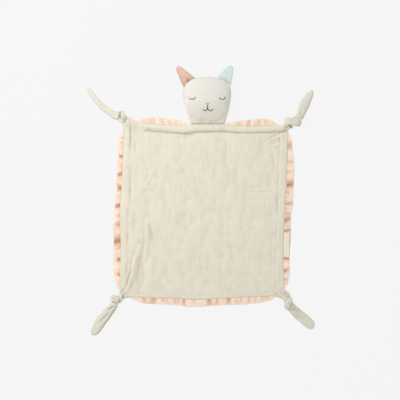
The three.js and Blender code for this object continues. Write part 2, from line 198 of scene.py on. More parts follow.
def sideways(ahead, facing):  # the two ways across a course
    thin = unit(facing - (facing * ahead).sum(1, keepdims=True) * ahead)
    return np.cross(ahead, thin), thin


def sweep(course, facing, wide, thick, sides, ripple=0):
    # rings of points along a course: `facing` is the way that the flat side looks
    across, thin = sideways(unit(np.gradient(course, axis=0)), facing)
    angle = ringAngles(sides)[None, :]
    out = (np.cos(angle)[..., None] * across[:, None] * np.reshape(wide, (-1, 1, 1))
           + np.sin(angle)[..., None] * thin[:, None] * np.reshape(thick, (-1, 1, 1)))
    return course[:, None] + out * np.asarray(1 + ripple)[..., None]


def tubeFaces(rings, sides, first):  # closed at both ends by their middle points
    index = first + np.arange(rings * sides).reshape(rings, sides)
    after = np.roll(index, -1, axis=1)
    skin = np.stack([index[:-1], index[1:], after[1:], after[:-1]], -1).reshape(-1, 4)
    start, end = first + rings * sides, first + rings * sides + 1
    caps = [(start, a, b) for a, b in zip(index[0], after[0])] + [(end, b, a) for a, b in zip(index[-1], after[-1])]
    return [tuple(f) for f in skin] + caps


def tubePoints(rings):
    return np.concatenate([rings.reshape(-1, 3), rings[0].mean(0)[None], rings[-1].mean(0)[None]])


def loopFaces(rings, sides, first):  # a tube that closes on itself
    index = first + np.arange(rings * sides).reshape(rings, sides)
    ahead, after = np.roll(index, -1, axis=0), np.roll(index, -1, axis=1)
    return [tuple(f) for f in np.stack([index, ahead, np.roll(ahead, -1, axis=1), after], -1).reshape(-1, 4)]


def linear(code):
    parts = [int(code[k:k + 2], 16) / 255 for k in (1, 3, 5)]
    return (*[c / 12.92 if c <= 0.04045 else ((c + 0.055) / 1.055) ** 2.4 for c in parts], 1.0)


def addNode(material, kind, settings=None, **links):  # a link is named for its socket, or n and its number
    node = material.node_tree.nodes.new("ShaderNode" + kind)
    for key, value in (settings or {}).items():
        if key in node.bl_rna.properties:
            setattr(node, key, value)
        else:
            node.inputs[int(key) if key.isdigit() else key].default_value = value
    for socket, source in links.items():
        key = int(socket[1:]) if socket[1:].isdigit() else socket.replace("_", " ")
        material.node_tree.links.new(source, node.inputs[key])
    return node


def newMaterial(name):
    material = bpy.data.materials.new(name)
    material.use_nodes = True
    material.node_tree.nodes.clear()
    return material


def clothMaterial(name, colour, deep, threads, roughness, sheen, bump, slub, streak):
    # deep: the colour that painted shade in folds and hollows mixes towards; threads: their spacing in metres; slub
    # and streak:
    # how strong and how large the uneven yarns are. A wave of scale 1 repeats every 0.314 m.
    material = newMaterial(name)
    add = lambda kind, settings=None, **links: addNode(material, kind, settings, **links)
    place = add("TexCoord").outputs["UV"]
    warp, weft = [add("TexWave", {"bands_direction": way, "Scale": 0.314 / threads, "Distortion": 0.6,
                                  "Detail Scale": 1.4}, Vector=place).outputs["Fac"] for way in "XY"]
    weave = add("Math", {"operation": "MULTIPLY"}, n0=warp, n1=weft)
    stretched = add("Mapping", {"Scale": (1 / streak[0], 1 / streak[1], 1)}, Vector=place).outputs["Vector"]
    yarns = add("TexNoise", {"Scale": 1.0, "Detail": 3.0, "Roughness": 0.55}, Vector=stretched).outputs["Fac"]
    clouds = add("TexNoise", {"Scale": 26.0, "Detail": 3.0}, Vector=place).outputs["Fac"]
    uneven = add("Math", {"operation": "ADD"}, n0=yarns, n1=clouds)
    light = add("MapRange", {"From Min": 0.6, "From Max": 1.4, "To Min": 1 - slub, "To Max": 1 + slub},
                Value=uneven.outputs[0])
    # painted shade: the colour is mixed towards `deep` by the share that each point carries
    paintedShadeAndTone = add("Attribute", {"attribute_name": "paintedShadeAndTone"})
    shadeMixed = add("Mix", {"data_type": "RGBA", "6": linear(colour), "7": linear(deep)}, n0=paintedShadeAndTone.outputs["Fac"])
    tinted = add("VectorMath", {"operation": "SCALE"}, n0=shadeMixed.outputs[2], Scale=light.outputs["Result"])
    relief = add("Math", {"operation": "MULTIPLY_ADD", "1": 1.6}, n0=yarns, n2=weave.outputs[0])
    raised = add("Bump", {"Strength": bump, "Distance": threads * 0.5}, Height=relief.outputs[0])
    shader = add("BsdfPrincipled", {"Roughness": roughness, "IOR": 1.46, "Specular IOR Level": 0.25,
                                    "Sheen Weight": sheen, "Sheen Roughness": 0.5},
                 Base_Color=tinted.outputs[0], Normal=raised.outputs[0])
    add("OutputMaterial", Surface=shader.outputs[0])
    return material


# Threads are drawn 0.4 to 0.8 mm apart, up to twice as coarse as the real ones, so that they show.
# cotton double gauze: two loose plain weaves tacked together and washed, so it crinkles and is matt; its fold colour
# is painted shade in hollows and in the creases at the knots
muslin = clothMaterial("unbleachedCottonDoubleGauze", "#e9e2d0", "#bfb49a", 0.0007, 0.95, 0.15, 0.6, 0.042,
                       (0.0045, 0.026))
# the same gauze in the tails and knots: pulled tight, and drawn greyer than the panel; its dark fold colour is
# painted shade in creases, pleats and along one edge of each tail
tiedMuslin = clothMaterial("tiedCottonDoubleGauze", "#dedaca", "#6e6350", 0.0007, 0.95, 0.15, 0.3, 0.02,
                           (0.004, 0.02))
# cotton sheeting, brushed on its face: a short nap that hides the threads. Its colour is drawn lighter and its fold
# colour greyer, for painted light on the lower face and painted shade elsewhere
brushedCotton = clothMaterial("brushedCotton", "#e9e5d8", "#cac9c8", 0.0004, 0.92, 0.25, 0.3, 0.02, (0.004, 0.006))
# cotton voile: thin, so its colour deepens where it lies double; the same deeper colour is also painted as shade in
# the tucks, in dips and along the seam
peachVoile = clothMaterial("peachCottonVoile", "#fae5d2", "#c68c66", 0.0005, 0.8, 0.1, 0.35, 0.03, (0.003, 0.012))
# dyed linen and cotton weave of the ears: thicker yarns, a dry matt face; the fold colour is painted shade in the
# crease and at the foot, and darkens one side
peachCloth = clothMaterial("peachLinenCotton", "#e2bdab", "#a67452", 0.0008, 0.9, 0.15, 0.6, 0.16, (0.002, 0.004))
mintCloth = clothMaterial("mintLinenCotton", "#d3e3e1", "#a3bfba", 0.0008, 0.9, 0.15, 0.6, 0.045, (0.002, 0.004))
# woven polyester tape: fine ribs across it and a slight gloss
labelTape = clothMaterial("wovenTape", "#ece2d0", "#cdb99b", 0.0004, 0.6, 0.05, 0.4, 0.015, (0.0006, 0.02))
# six-strand cotton floss: mercerised, so it has a soft gloss
greyFloss = clothMaterial("greyCottonFloss", "#4a4541", "#3c3836", 0.0004, 0.6, 0.1, 0.4, 0.05, (0.0004, 0.003))
pinkFloss = clothMaterial("pinkCottonFloss", "#cfa89c", "#a87a70", 0.0004, 0.6, 0.1, 0.4, 0.05, (0.0004, 0.003))
print("materials made")

studio = dict(across=720, centre=(-7.74, 19.8), distance=5000, sky=0.7, lampAt=(-545, 485, 900),
              lampSize=650, lampPower=6.5, floor="#f6f6f6", glow=0.996, shadowShare=0.05, reach=6)


def makeStudio(s):
    camera = bpy.data.objects.new("camera", bpy.data.cameras.new("camera"))
    camera.data.lens = camera.data.sensor_width * s["distance"] / s["across"]
    camera.location = (s["centre"][0] / 1000, s["centre"][1] / 1000, s["distance"] / 1000)
    lamp = bpy.data.objects.new("window", bpy.data.lights.new("window", "AREA"))
    lamp.data.energy = s["lampPower"]
    lamp.data.size = s["lampSize"] / 1000
    lamp.location = Vector(s["lampAt"]) / 1000
    lamp.rotation_euler = Vector(s["lampAt"]).to_track_quat("Z", "Y").to_euler()
    world = bpy.data.worlds.new("sky")
    world.use_nodes = True
    world.node_tree.nodes["Background"].inputs["Color"].default_value = (1, 1, 1, 1)
    world.node_tree.nodes["Background"].inputs["Strength"].default_value = s["sky"]
    scene = bpy.context.scene
    scene.camera, scene.world = camera, world
    scene.view_settings.view_transform = "Standard"
    # matt painted board: plain to the eye, with the object's shadow kept but faint
    board = newMaterial("paintedBoard")
    paint = addNode(board, "BsdfDiffuse", {"Color": linear(s["floor"])})
    glow = addNode(board, "Emission", {"Color": linear(s["floor"]), "Strength": s["glow"]})
    seen = addNode(board, "Math", {"operation": "MULTIPLY", "1": 1 - s["shadowShare"]},
                   n0=addNode(board, "LightPath").outputs["Is Camera Ray"])
    mixed = addNode(board, "MixShader", n0=seen.outputs[0], n1=paint.outputs[0], n2=glow.outputs[0])
    addNode(board, "OutputMaterial", Surface=mixed.outputs[0])
    mesh = bpy.data.meshes.new("floor")
    far, low = s["reach"], -0.0004
    mesh.from_pydata([(-far, -far, low), (far, -far, low), (far, far, low), (-far, far, low)], [], [(0, 1, 2, 3)])
    mesh.materials.append(board)
    floor = bpy.data.objects.new("floor", mesh)
    for thing in (camera, lamp, floor):
        bpy.context.collection.objects.link(thing)


makeStudio(studio)
print("studio set")

blanket = dict(
    width=297, length=313, lean=6, grid=1.6, backGrid=2.4, cloth=0.9, backTop=1.2, frontTop=2.9, deepest=0.8,
    # each edge band: height, width, and the depth of the crease beside it
    bands=dict(left=(0.85, 10.6, 0.42), right=(0.45, 14.5, 0.55), bottom=(0.3, 5.5, 0), top=(0.3, 6.0, 0)),
    # how strong the left one is along the edge
    leftCrease=[(-157, 0.5), (-50, 0.9), (0, 1.1), (45, 1), (72, 0.35), (157, 0.3)],
    seamBand=6.5, bowReach=34, drawnIn=17, waveHeight=1.5, billow=1.15, crinkle=0.3,
    rollFrom=-109, rollHeight=2.7,
    rollWidth=[(-152, 12), (-110, 12.5), (-60, 14), (-30, 16), (-8, 13.5), (50, 13), (110, 12.5), (152, 12)],
)
# how far each edge bows out, at places along it
bows = dict(
    left=[(-157, 0), (-140, 0.6), (-105, 1.4), (-70, 0.4), (-22, 2.8), (9, 3.2), (60, 0.6), (147, -1), (157, 0)],
    right=[(-157, 0), (-124, -2.6), (-85, -4.1), (-38, -4), (20, -2.7), (45, -1.1), (137, -0.5), (157, 0)],
    top=[(-152, 0), (-105, 0.6), (-60, -1.2), (-38, -1.8), (-24, 0.2), (36, 0), (48, -2.0), (88, -3.4),
         (131, -2.2), (152, 0)],
    bottom=[(-152, 0), (-125, -1.2), (-100, 0), (-60, 1.0), (-44, 1.2), (-30, 3.2), (2, 3.4), (14, 1.8), (34, 1.2),
            (60, -0.4), (90, -2), (118, -2.6), (140, -1), (152, 0)],
)
# folds of the front cloth: height, width, then the line that each follows
frontFolds = [
    (1.7, 3.2, [(-104, -14), (-103, -50), (-106, -86)]), (1.0, 3.0, [(-88, 82), (-99, 60), (-110, 40)]),
    (0.4, 3.0, [(-122, 134), (-122, 84)]), (-0.8, 1.8, [(-132.5, 70), (-132, 10)]),
    (-1.0, 4.0, [(-137, -36), (-139, -60)]), (-0.7, 6.0, [(-127, 0), (-126, -48)]),
    (3.3, 4.2, [(-116, -64), (-125, -88), (-129, -116), (-141, -142)]),
    (-1.6, 2.2, [(-131, -104), (-137, -127), (-147, -148)]),
    (-2.6, 5.5, [(-113, -84), (-114, -112), (-119, -146)]), (1.2, 7.0, [(-96, -84), (-100, -150)]),
    (1.2, 4.0, [(-104, -22), (-101, -62)]), (1.5, 2.4, [(110, 122), (128, 132), (147, 138)]),
    (-0.9, 1.8, [(120, 134), (132, 140), (146, 144)]), (0.9, 2.0, [(124, 116), (134, 120), (144, 126)]),
    (-0.8, 3.0, [(118, 104), (124, 96), (126, 80)]), (0.7, 2.0, [(-112, 40), (-98, 44), (-86, 40)]),
    (-0.4, 1.8, [(80, 37), (98, 34), (116, 36)]), (0.35, 2.2, [(72, 40), (96, 38), (120, 41)]),
    (0.4, 2.4, [(20, -36), (62, -35), (92, -38)]), (-1.5, 5.5, [(-78, 138), (-40, 133), (-4, 139)]),
    (1.2, 8.0, [(-4, 128), (26, 120)]), (-0.9, 5.0, [(38, 126), (36, 60)]), (0.7, 7.0, [(-66, 106), (-62, 84)]),
    (0.7, 9.0, [(-10, 118), (8, 90)]), (0.5, 5.0, [(30, 120), (26, 60)]), (0.5, 5.0, [(90, 110), (96, 50)]),
    (0.6, 6.0, [(-50, 20), (-56, -50)]), (0.5, 5.0, [(40, -60), (34, -130)]), (0.5, 5.0, [(92, -60), (98, -140)]),
    (1.2, 2.2, [(-129, 160), (-129, 138)]), (-1.3, 1.6, [(-133.5, 158), (-133, 132), (-134, 112)]),
    (0.7, 1.5, [(-123, 158), (-123.4, 144)]), (0.8, 1.5, [(-117.6, 157), (-117, 142)]),
    (0.6, 1.4, [(-112, 156), (-111.5, 145)]), (-2.4, 3.0, [(-109, 151), (-104, 147), (-92, 145)]),
    (-0.5, 3.0, [(-126, 128), (-124, 104)]), (0.6, 4.0, [(-117, 124), (-116, 96)]),
]
# The knotted corners. Angles are anticlockwise from +X. A knot lies `reach` from the seam's corner in the
# direction `towards`. Its tail leaves at `heading` and turns by `bend` along its length.
# gather: how far along each edge the panel is drawn in.
# drift and widths are (share of the tail's length, mm), creases (depth, width, line) from the knot's
# middle, dented and painted as shade, folds (height, width, line) along the tail, and edge (side, depth of its
# painted shade).
corners = dict(
    top_left=dict(
        side=(-1, 1), towards=110, reach=15.4, radius=9.0, heading=153, bend=-28, length=79, short=0.5, end=0.96,
        core=6.0, gather=(32, 12), spread=(0.5, 0.2), pleat=0.45, edge=(-1, 0.3),
        drift=[(0, 3.8), (0.4, 3.9), (0.55, 2.9), (0.75, 1.7), (0.9, 0.7), (1, 0.9)],
        widths=[(0, 13), (0.1, 11.6), (0.35, 12.4), (0.55, 10), (0.75, 9.4), (0.88, 8), (1, 6)],
        wraps=[dict(at=(-5.4, 0.3), angle=66, half=7.4, width=4.4, rise=0.85),
               dict(at=(4.6, 0.9), angle=108, half=8.8, width=4.5, rise=1)],
        creases=[(0.6, 1.5, [(0.2, 7.5), (-0.4, 2.7), (-0.2, -3.5)])],
        folds=[(1.1, 1.6, [(10, 2), (34, 1.5), (66, 1)]), (-1.0, 1.0, [(10, -1.5), (22, -3), (38, -2)]),
               (-0.7, 1.2, [(24, 3), (50, 3)])]),
    top_right=dict(
        side=(1, 1), towards=27, reach=12, radius=10.5, heading=70, bend=-14, length=66, short=1.5, end=0.94,
        core=6.2, gather=(13, 12), spread=(0.3, 0.2), pleat=0.8, edge=(1, 0.55),
        drift=[(0, -5.4), (0.1, -5.6), (0.35, -4.8), (0.6, -4.4), (1, -4.4)],
        widths=[(0, 13.5), (0.1, 14.5), (0.3, 17.4), (0.45, 17.6), (0.65, 15.8), (0.8, 12.8), (0.91, 9), (1, 6)],
        wraps=[dict(at=(-3.2, -2.4), angle=-6, half=15.0, width=8.0, rise=1)],
        cornerFold=(1, dict(at=(-11.0, -9.6), angle=-24, half=8.0, width=3.0, rise=0.62)),
        creases=[(0.65, 1.5, [(-7.3, -9.0), (-6.9, -12.0)]), (0.7, 1.3, [(-11, -7.8), (-7.4, -9.6)]),
                 (0.7, 1.4, [(-17.6, -12.4), (-14.0, -11.4)])],
        folds=[(1.2, 2.2, [(9, 1), (24, 2), (44, 2)]), (-1.8, 1.3, [(8, 1.5), (13, 0.2), (20, -1.4)]),
               (1.0, 1.6, [(10, -3), (26, -4), (46, -3)]), (-0.7, 1.8, [(24, 4), (44, 4)])]),
    bottom_left=dict(
        side=(-1, -1), towards=215, reach=7, radius=9.5, heading=224, bend=26, length=80, short=3, end=0.84,
        core=6.2, gather=(15, 15), spread=(0.2, 0.2), pleat=0.8, edge=(-1, 0.9),
        drift=[(0, 2.9), (0.35, 2.4), (0.5, 0.9), (0.8, 0.1), (0.9, -0.9), (1, -2.4)],
        widths=[(0, 12.5), (0.1, 14.8), (0.2, 16.6), (0.3, 18), (0.45, 19.4), (0.6, 18.8), (0.75, 17.6), (0.88, 15.6),
                (1, 13)],
        wraps=[dict(at=(-2.0, 2.6), angle=158, half=9.6, width=6.6, rise=1),
               dict(at=(7.4, 2.4), angle=62, half=7.2, width=3.8, rise=0.75)],
        creases=[(0.6, 1.5, [(10.7, 12.2), (10.9, 6)]), (0.6, 1.5, [(11.6, 3.6), (10.2, -1)]),
                 (0.45, 1.3, [(5.4, 1.2), (4, -2.4)])],
        folds=[(1.9, 1.7, [(9, 4), (20, 3.6), (34, 1.4), (46, 4)]), (-2.4, 1.4, [(10, 0.6), (18, 1.4), (27, 3.4)]),
               (1.4, 1.7, [(10, -2.6), (22, -3), (36, -5.4)]), (-1.2, 1.6, [(26, -1), (40, -1), (54, 1)]),
               (0.8, 2.4, [(46, -3), (68, -2)])]),
    bottom_right=dict(
        side=(1, -1), towards=310, reach=11, radius=10, heading=316, bend=2, length=65, short=1.5, end=0.82,
        core=6.2, gather=(16, 17), spread=(0.0, 0.7), pleat=0.9, edge=(-1, 0.25),
        drift=[(0, -3.7), (0.3, -3.7), (0.55, -3.0), (0.85, -2.8), (1, -3.5)],
        widths=[(0, 15), (0.06, 16.6), (0.2, 18), (0.4, 18.6), (0.7, 18.4), (0.85, 17), (1, 14)],
        wraps=[dict(at=(-1.2, -1.8), angle=66, half=10.6, width=6.0, rise=1),
               dict(at=(5.0, -9.6), angle=44, half=7.8, width=3.6, rise=0.72)],
        cornerFold=(2, dict(at=(-2.8, 13.6), angle=-60, half=9.5, width=3.2, rise=0.64)),
        creases=[(0.5, 1.3, [(-8.6, 18), (-11.8, 12.8), (-13.8, 9.6)]), (0.35, 1.1, [(-6, 23), (-6, 15)]),
                 (0.25, 1.1, [(-2.4, 16), (-1.6, 10.4)])],
        folds=[(1.0, 1.8, [(10, 2.5), (26, 3.5), (44, 4)]), (-1.4, 1.2, [(11, -1), (20, -2.5), (28, -4)]),
               (-0.6, 1.6, [(22, 1), (44, 0)])]),
)
for corner in corners.values():
    sideX, sideY = corner["side"]
    corner["seam"] = np.array([sideX * blanket["width"] / 2 + sideY * blanket["lean"] / 2,
                               sideY * blanket["length"] / 2])
    corner["centre"] = corner["seam"] + corner["reach"] * bearing(corner["towards"])
    corner["height"] = corner["radius"] * 0.82


def creased(x, y, corner):  # how deep a point lies in the creases at a knot, from 0 to 1; they are dented by it and painted as shade by it
    share = np.zeros(np.shape(x))
    for depth, width, line in corner["creases"]:
        away, _ = alongLine(x - corner["centre"][0], y - corner["centre"][1], line)
        share = np.maximum(share, depth * bell(away, width))
    return share


def edgeGaps(u, v):  # how far a place lies from each edge of the square
    wide, long = blanket["width"], blanket["length"]
    return dict(left=u * wide, right=(1 - u) * wide, bottom=v * long, top=(1 - v) * long)


def blanketPlace(u, v):  # u, v from 0 to 1 across and along: flat place, drawn place, lift and pleats
    b = blanket
    flatX = (2 * u - 1) * b["width"] / 2 + (2 * v - 1) * b["lean"] / 2
    flatY = (2 * v - 1) * b["length"] / 2
    bow = {}
    for side, gap in edgeGaps(u, v).items():
        along = flatY if side in ("left", "right") else flatX
        bow[side] = through(bows[side], along) * (1 - smooth(gap / b["bowReach"]))
    x = flatX - bow["left"] + bow["right"]
    y = flatY - bow["bottom"] + bow["top"]
    lift, pleats = np.zeros_like(x), np.zeros_like(x)
    for k, corner in enumerate(corners.values()):
        seamX, seamY = corner["seam"]
        gatherX, gatherY = corner["gather"]
        away = np.hypot((flatX - seamX) / gatherX, (flatY - seamY) / gatherY) * b["drawnIn"]
        share = 1 - smooth(away / b["drawnIn"])
        pull = corner["centre"] - corner["seam"]
        way = bearing(corner["towards"])
        aside = (x - seamX) * -way[1] + (y - seamY) * way[0]
        widened = aside * lerp(*corner["spread"], aside > 0) * share
        x = x + pull[0] * share - way[1] * widened
        y = y + pull[1] * share + way[0] * widened
        lift = lift + (corner["height"] - b["frontTop"] / 2) * share
        # the cloth is gathered fan-wise where the knot squeezes it
        angle = np.arctan2(flatY - seamY, flatX - seamX)
        fan = np.cos(angle * 11 + k) + 0.5 * np.cos(angle * 19 + 2 * k)
        pleats = pleats + corner["pleat"] * fan * bell(away - 7, 9) * smooth(away / 5)
    return flatX, flatY, x, y, lift, pleats


def frontHeight(u, v, flatX, flatY, lift, pleats):
    b = blanket
    gaps = edgeGaps(u, v)
    edge, fromTop = np.minimum.reduce(list(gaps.values())), gaps["top"]
    inside = smooth(edge / 14)
    noise = lambda sizeX, sizeY, seed, moved=0: mottle(flatX / sizeX + moved, flatY / sizeY, seed)
    # bands over the seams, each with a crease beside it
    uneven = 1 + 0.45 * noise(31, 31, 11, 5)
    held = 0.35 + 0.9 * clamp(noise(40, 30, 18) + 0.25)
    band = 0
    for name, gap in gaps.items():
        height, width, crease = b["bands"][name]
        width = width * (0.82 + 0.18 * uneven) + 1.6 * noise(23, 19, 17)
        strength = held * (through(b["leftCrease"], flatY) if name == "left" else 1)
        band = (band + height * uneven * (1 - smooth((gap - width + 3) / 5.5))
                - crease * strength * bell(gap - width - 1.8, 2.4))
    # the rolled top edge and the crease under it
    rollWidth = through(b["rollWidth"], flatX)
    rollShare = clamp(fromTop / rollWidth)
    roll = b["rollHeight"] * (0.85 + 0.25 * noise(38, 60, 12)) * np.sin(math.pi * rollShare ** 0.85) ** 0.9
    roll = roll * smooth((1 - u) * b["width"] / 16 + 0.35)
    started = smooth((flatX - b["rollFrom"]) / 7 + 0.5)
    crease = -(1.25 + 0.5 * noise(26, 60, 15)) * started * bell(fromTop - rollWidth - 1.0 - noise(17, 60, 16), 2.5)
    # waves, then the crinkle of washed gauze, mostly along the warp
    wave = b["waveHeight"] * (0.5 + 0.5 * noise(70, 90, 1, 3)) * inside
    wander = 0.7 * noise(40, 34, 2)
    billow = b["billow"] * (noise(23, 37, 7) + 0.5 * noise(13, 16, 8)) * inside
    fine = (1.3 * noise(9, 33, 9, wander) + 0.6 * noise(4.6, 24, 3, wander) + 0.3 * noise(2.8, 10, 4, wander)
            + 0.3 * noise(15, 6, 5))
    crinkle = billow + b["crinkle"] * fine * (0.6 + 0.6 * noise(30, 30, 6))
    folds = np.zeros_like(flatX)
    for height, width, line in frontFolds:
        away, share = alongLine(flatX, flatY, line)
        folds += height * bell(away, width, 1.7) * fading(share, 0.25)
    puff = roll * started + crease + wave + band + crinkle * (0.35 + 0.65 * inside) + folds * smooth(edge / 7 + 0.2)
    rounded = -1.3 * (1 - smooth(edge / 2.2))
    return (b["frontTop"] + settled(puff, -b["deepest"], 0.3) + lift + pleats
            - 0.7 * np.maximum(puff, 0) * clamp(lift / 4) + rounded)


def panelGrid(step):
    columns, rows = round(blanket["width"] / step) + 1, round(blanket["length"] / step) + 1
    u, v = np.meshgrid(np.linspace(0, 1, columns), np.linspace(0, 1, rows))
    return u, v, np.minimum.reduce(list(edgeGaps(u, v).values())), blanketPlace(u, v)


def frontPanel():
    u, v, edge, (flatX, flatY, x, y, lift, pleats) = panelGrid(blanket["grid"])
    top = frontHeight(u, v, flatX, flatY, lift, pleats)
    under = np.maximum(top - blanket["cloth"] * (0.25 + 0.75 * smooth(edge / 2)), 1.3 + lift)
    # painted shade in the cloth's hollows, less near the edge, and at full in the creases at the knots
    paintedShadeAndTone = clamp(0.75 * hollows(top, 12, 0.9) + 0.2 * hollows(top, 3, 0.4)) * (0.3 + 0.7 * smooth(edge / 4))
    for corner in corners.values():
        crease = creased(x, y, corner)
        top, under = top - 0.9 * crease, under - 0.9 * crease
        paintedShadeAndTone = np.maximum(paintedShadeAndTone, crease)
    piece = layeredPiece("frontCloth", together(x, y, top), together(x, y, np.minimum(under, top - 0.2)), muslin,
                         ["front_panel"], together(flatX, flatY), paintedShadeAndTone)
    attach(piece, "blanket")


def backPanel():
    _, _, edge, (flatX, flatY, x, y, lift, pleats) = panelGrid(blanket["backGrid"])
    crinkle = 0.5 + 0.5 * (0.6 * mottle(flatX / 6, flatY / 24, 13) + 0.4 * mottle(flatX / 18, flatY / 9, 14))
    flat = smooth((edge - blanket["seamBand"]) / 3)
    under = 0.45 * crinkle * flat + 0.35 * bell(edge - 8.6, 1.3) + 0.5 * (1 - smooth(edge / 1.6))
    under = under + lift * 0.9 - 0.6 * pleats * clamp(lift)
    top = np.maximum(blanket["backTop"] - 0.25 * (1 - smooth(edge / 2)) + lift, under + 0.3)
    # painted shade where the underside rises between lower places
    piece = layeredPiece("backCloth", together(x, y, top), together(x, y, np.maximum(under, 0)), muslin,
                         ["back_panel"], together(flatX, flatY), 0.6 * hollows(-under, 5, 0.5))
    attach(piece, "blanket")


frontPanel()
backPanel()
print("blanket made")

# gatherRatio: how many times its seam a strip is taken to be, a guess. It also sets how close the weave is drawn.
trimStyle = dict(tuckUnder=1.3, height=1.5, outerHeight=1.15, puff=1.2, gatherRatio=1.3, step=1.0,
                 columns=[0, 0.04, 0.1, 0.18, 0.27, 0.36, 0.46, 0.56, 0.66, 0.76, 0.85, 0.92, 0.97, 1.0])
# span and the places of widths and tucks are along the edge: Y on the sides, X on the others.
# A tuck is (place, how deep from 0 to 1, half of its length, how far out it runs from 0 to 1).
# tone: how strongly a trim's tucks are darkened, both for voile lying double and as painted shade; patches: how
# strong its darker patches at random near the seam are
trims = [
    dict(name="left", span=(146, -141), patches=0.7, tone=1.1,
         widths=[(-141, 2), (-137, 6), (-117, 11.2), (-90, 13.2), (-54, 13), (-27, 12.6), (9, 9.6), (60, 10),
                 (80, 10.2), (110, 10.4), (135, 9.6), (141, 7), (146, 1.5)],
         tucks=[(97.5, 0.8, 3.2, 0.6), (67, 1, 4, 0.7), (40.5, 0.9, 4.6, 0.6), (10, 1, 3.4, 1), (-26, 0.7, 3.4, 0.5),
                (-52, 1, 6.4, 1), (-89, 0.6, 3.4, 0.4), (-113, 0.6, 3.4, 0.4), (122, 0.4, 3, 0.5),
                (84, 0.3, 2.5, 0.5), (-70, 0.15, 3, 0.6), (-8, 0.3, 3, 0.4), (26, 0.3, 2.5, 0.5)]),
    dict(name="right", span=(-138, 140), patches=0.65, tone=1,
         widths=[(-138, 2), (-130, 6.8), (-124, 8.2), (-110, 11.2), (-79, 10.8), (-38, 12.3), (-7, 11.4), (11, 14),
                 (45, 12.8), (82, 13), (122, 8.4), (135, 3.6), (140, 1)],
         tucks=[(115, 0.8, 6, 0.8), (90, 0.5, 2.6, 0.8), (46, 1, 5.4, 1), (34, 0.4, 2.5, 0.4), (12, 0.7, 2.8, 0.9),
                (-3, 0.5, 2.5, 0.6), (-16, 0.9, 4.4, 0.8), (-26, 0.4, 2.5, 0.7), (-36.5, 0.9, 3, 0.9),
                (-84, 0.9, 3.2, 1), (-107, 0.6, 3, 0.7), (-124, 0.4, 2.5, 0.8)]),
    dict(name="bottom", span=(-134, 125), patches=0.35, tone=0.65,
         widths=[(-134, 1.5), (-128, 4.5), (-120, 7.5), (-108, 10.4), (-96, 11), (-65, 11.2), (-42, 12.6),
                 (-24, 12.6), (8, 12.2), (37, 11.8), (71, 12.8), (93, 12), (116, 8.4), (125, 3)],
         tucks=[(-109, 0.8, 4, 0.8), (-90.5, 1, 5, 0.9), (-75, 0.9, 3, 0.5), (-66, 0.5, 2.4, 0.8), (-54, 0.6, 3, 0.7),
                (-45, 0.5, 2.4, 0.6), (-37.5, 0.7, 2.6, 1), (-18, 0.2, 2.5, 0.6), (7, 1, 4.4, 0.9),
                (24.5, 0.6, 3, 0.8), (34, 0.4, 2.4, 0.6), (45.5, 0.9, 3.4, 0.9), (58, 0.5, 2.5, 0.7),
                (67.5, 0.4, 2.5, 0.6), (80, 0.6, 3, 0.8), (92, 0.5, 2.5, 0.7), (103.5, 0.5, 2.5, 0.7),
                (116, 0.4, 2.5, 0.6)]),
    dict(name="top_left", span=(-32, -126), patches=0.3, tone=0.7,
         widths=[(-126, 1.5), (-120, 5.5), (-113, 9), (-100, 12), (-90, 12.8), (-72, 11.7), (-58, 10), (-49, 9.2),
                 (-41, 7.8), (-36, 5.8), (-32, 1.5)],
         tucks=[(-109, 0.5, 3, 0.7), (-96, 0.5, 3, 0.8), (-90.5, 0.4, 2.5, 0.7), (-74, 0.6, 3, 0.9),
                (-51.5, 0.4, 3, 0.8), (-62, 0.3, 2.5, 0.6)]),
    dict(name="top_right", span=(131, 38), patches=0.3, tone=0.75,
         widths=[(38, 1.5), (50, 5), (63, 8.3), (77, 10.8), (90, 12.4), (102, 12.8), (113, 11.9), (122, 8.8),
                 (128, 5), (131, 1.5)],
         tucks=[(79, 0.9, 3, 0.9), (100, 0.5, 3, 0.8), (61, 0.4, 3, 0.7), (112, 0.4, 2.5, 0.7), (90, 0.3, 2.5, 0.6)]),
]
outwards = dict(left=(-0.99982, 0.01917), right=(0.99982, -0.01917), top=(0.0, 1.0), bottom=(0.0, -1.0))


def seamLine(side, place):  # the drawn edge of the panels at places along it, and its lift
    half = blanket["length" if side in ("left", "right") else "width"] / 2
    lean = {"top": blanket["lean"] / 2, "bottom": -blanket["lean"] / 2}.get(side, 0)
    share = (place - lean + half) / (2 * half)
    ones = np.ones_like(share)
    places = dict(left=(0 * ones, share), right=(ones, share), top=(share, ones), bottom=(share, 0 * ones))
    return blanketPlace(*places[side])[2:5]


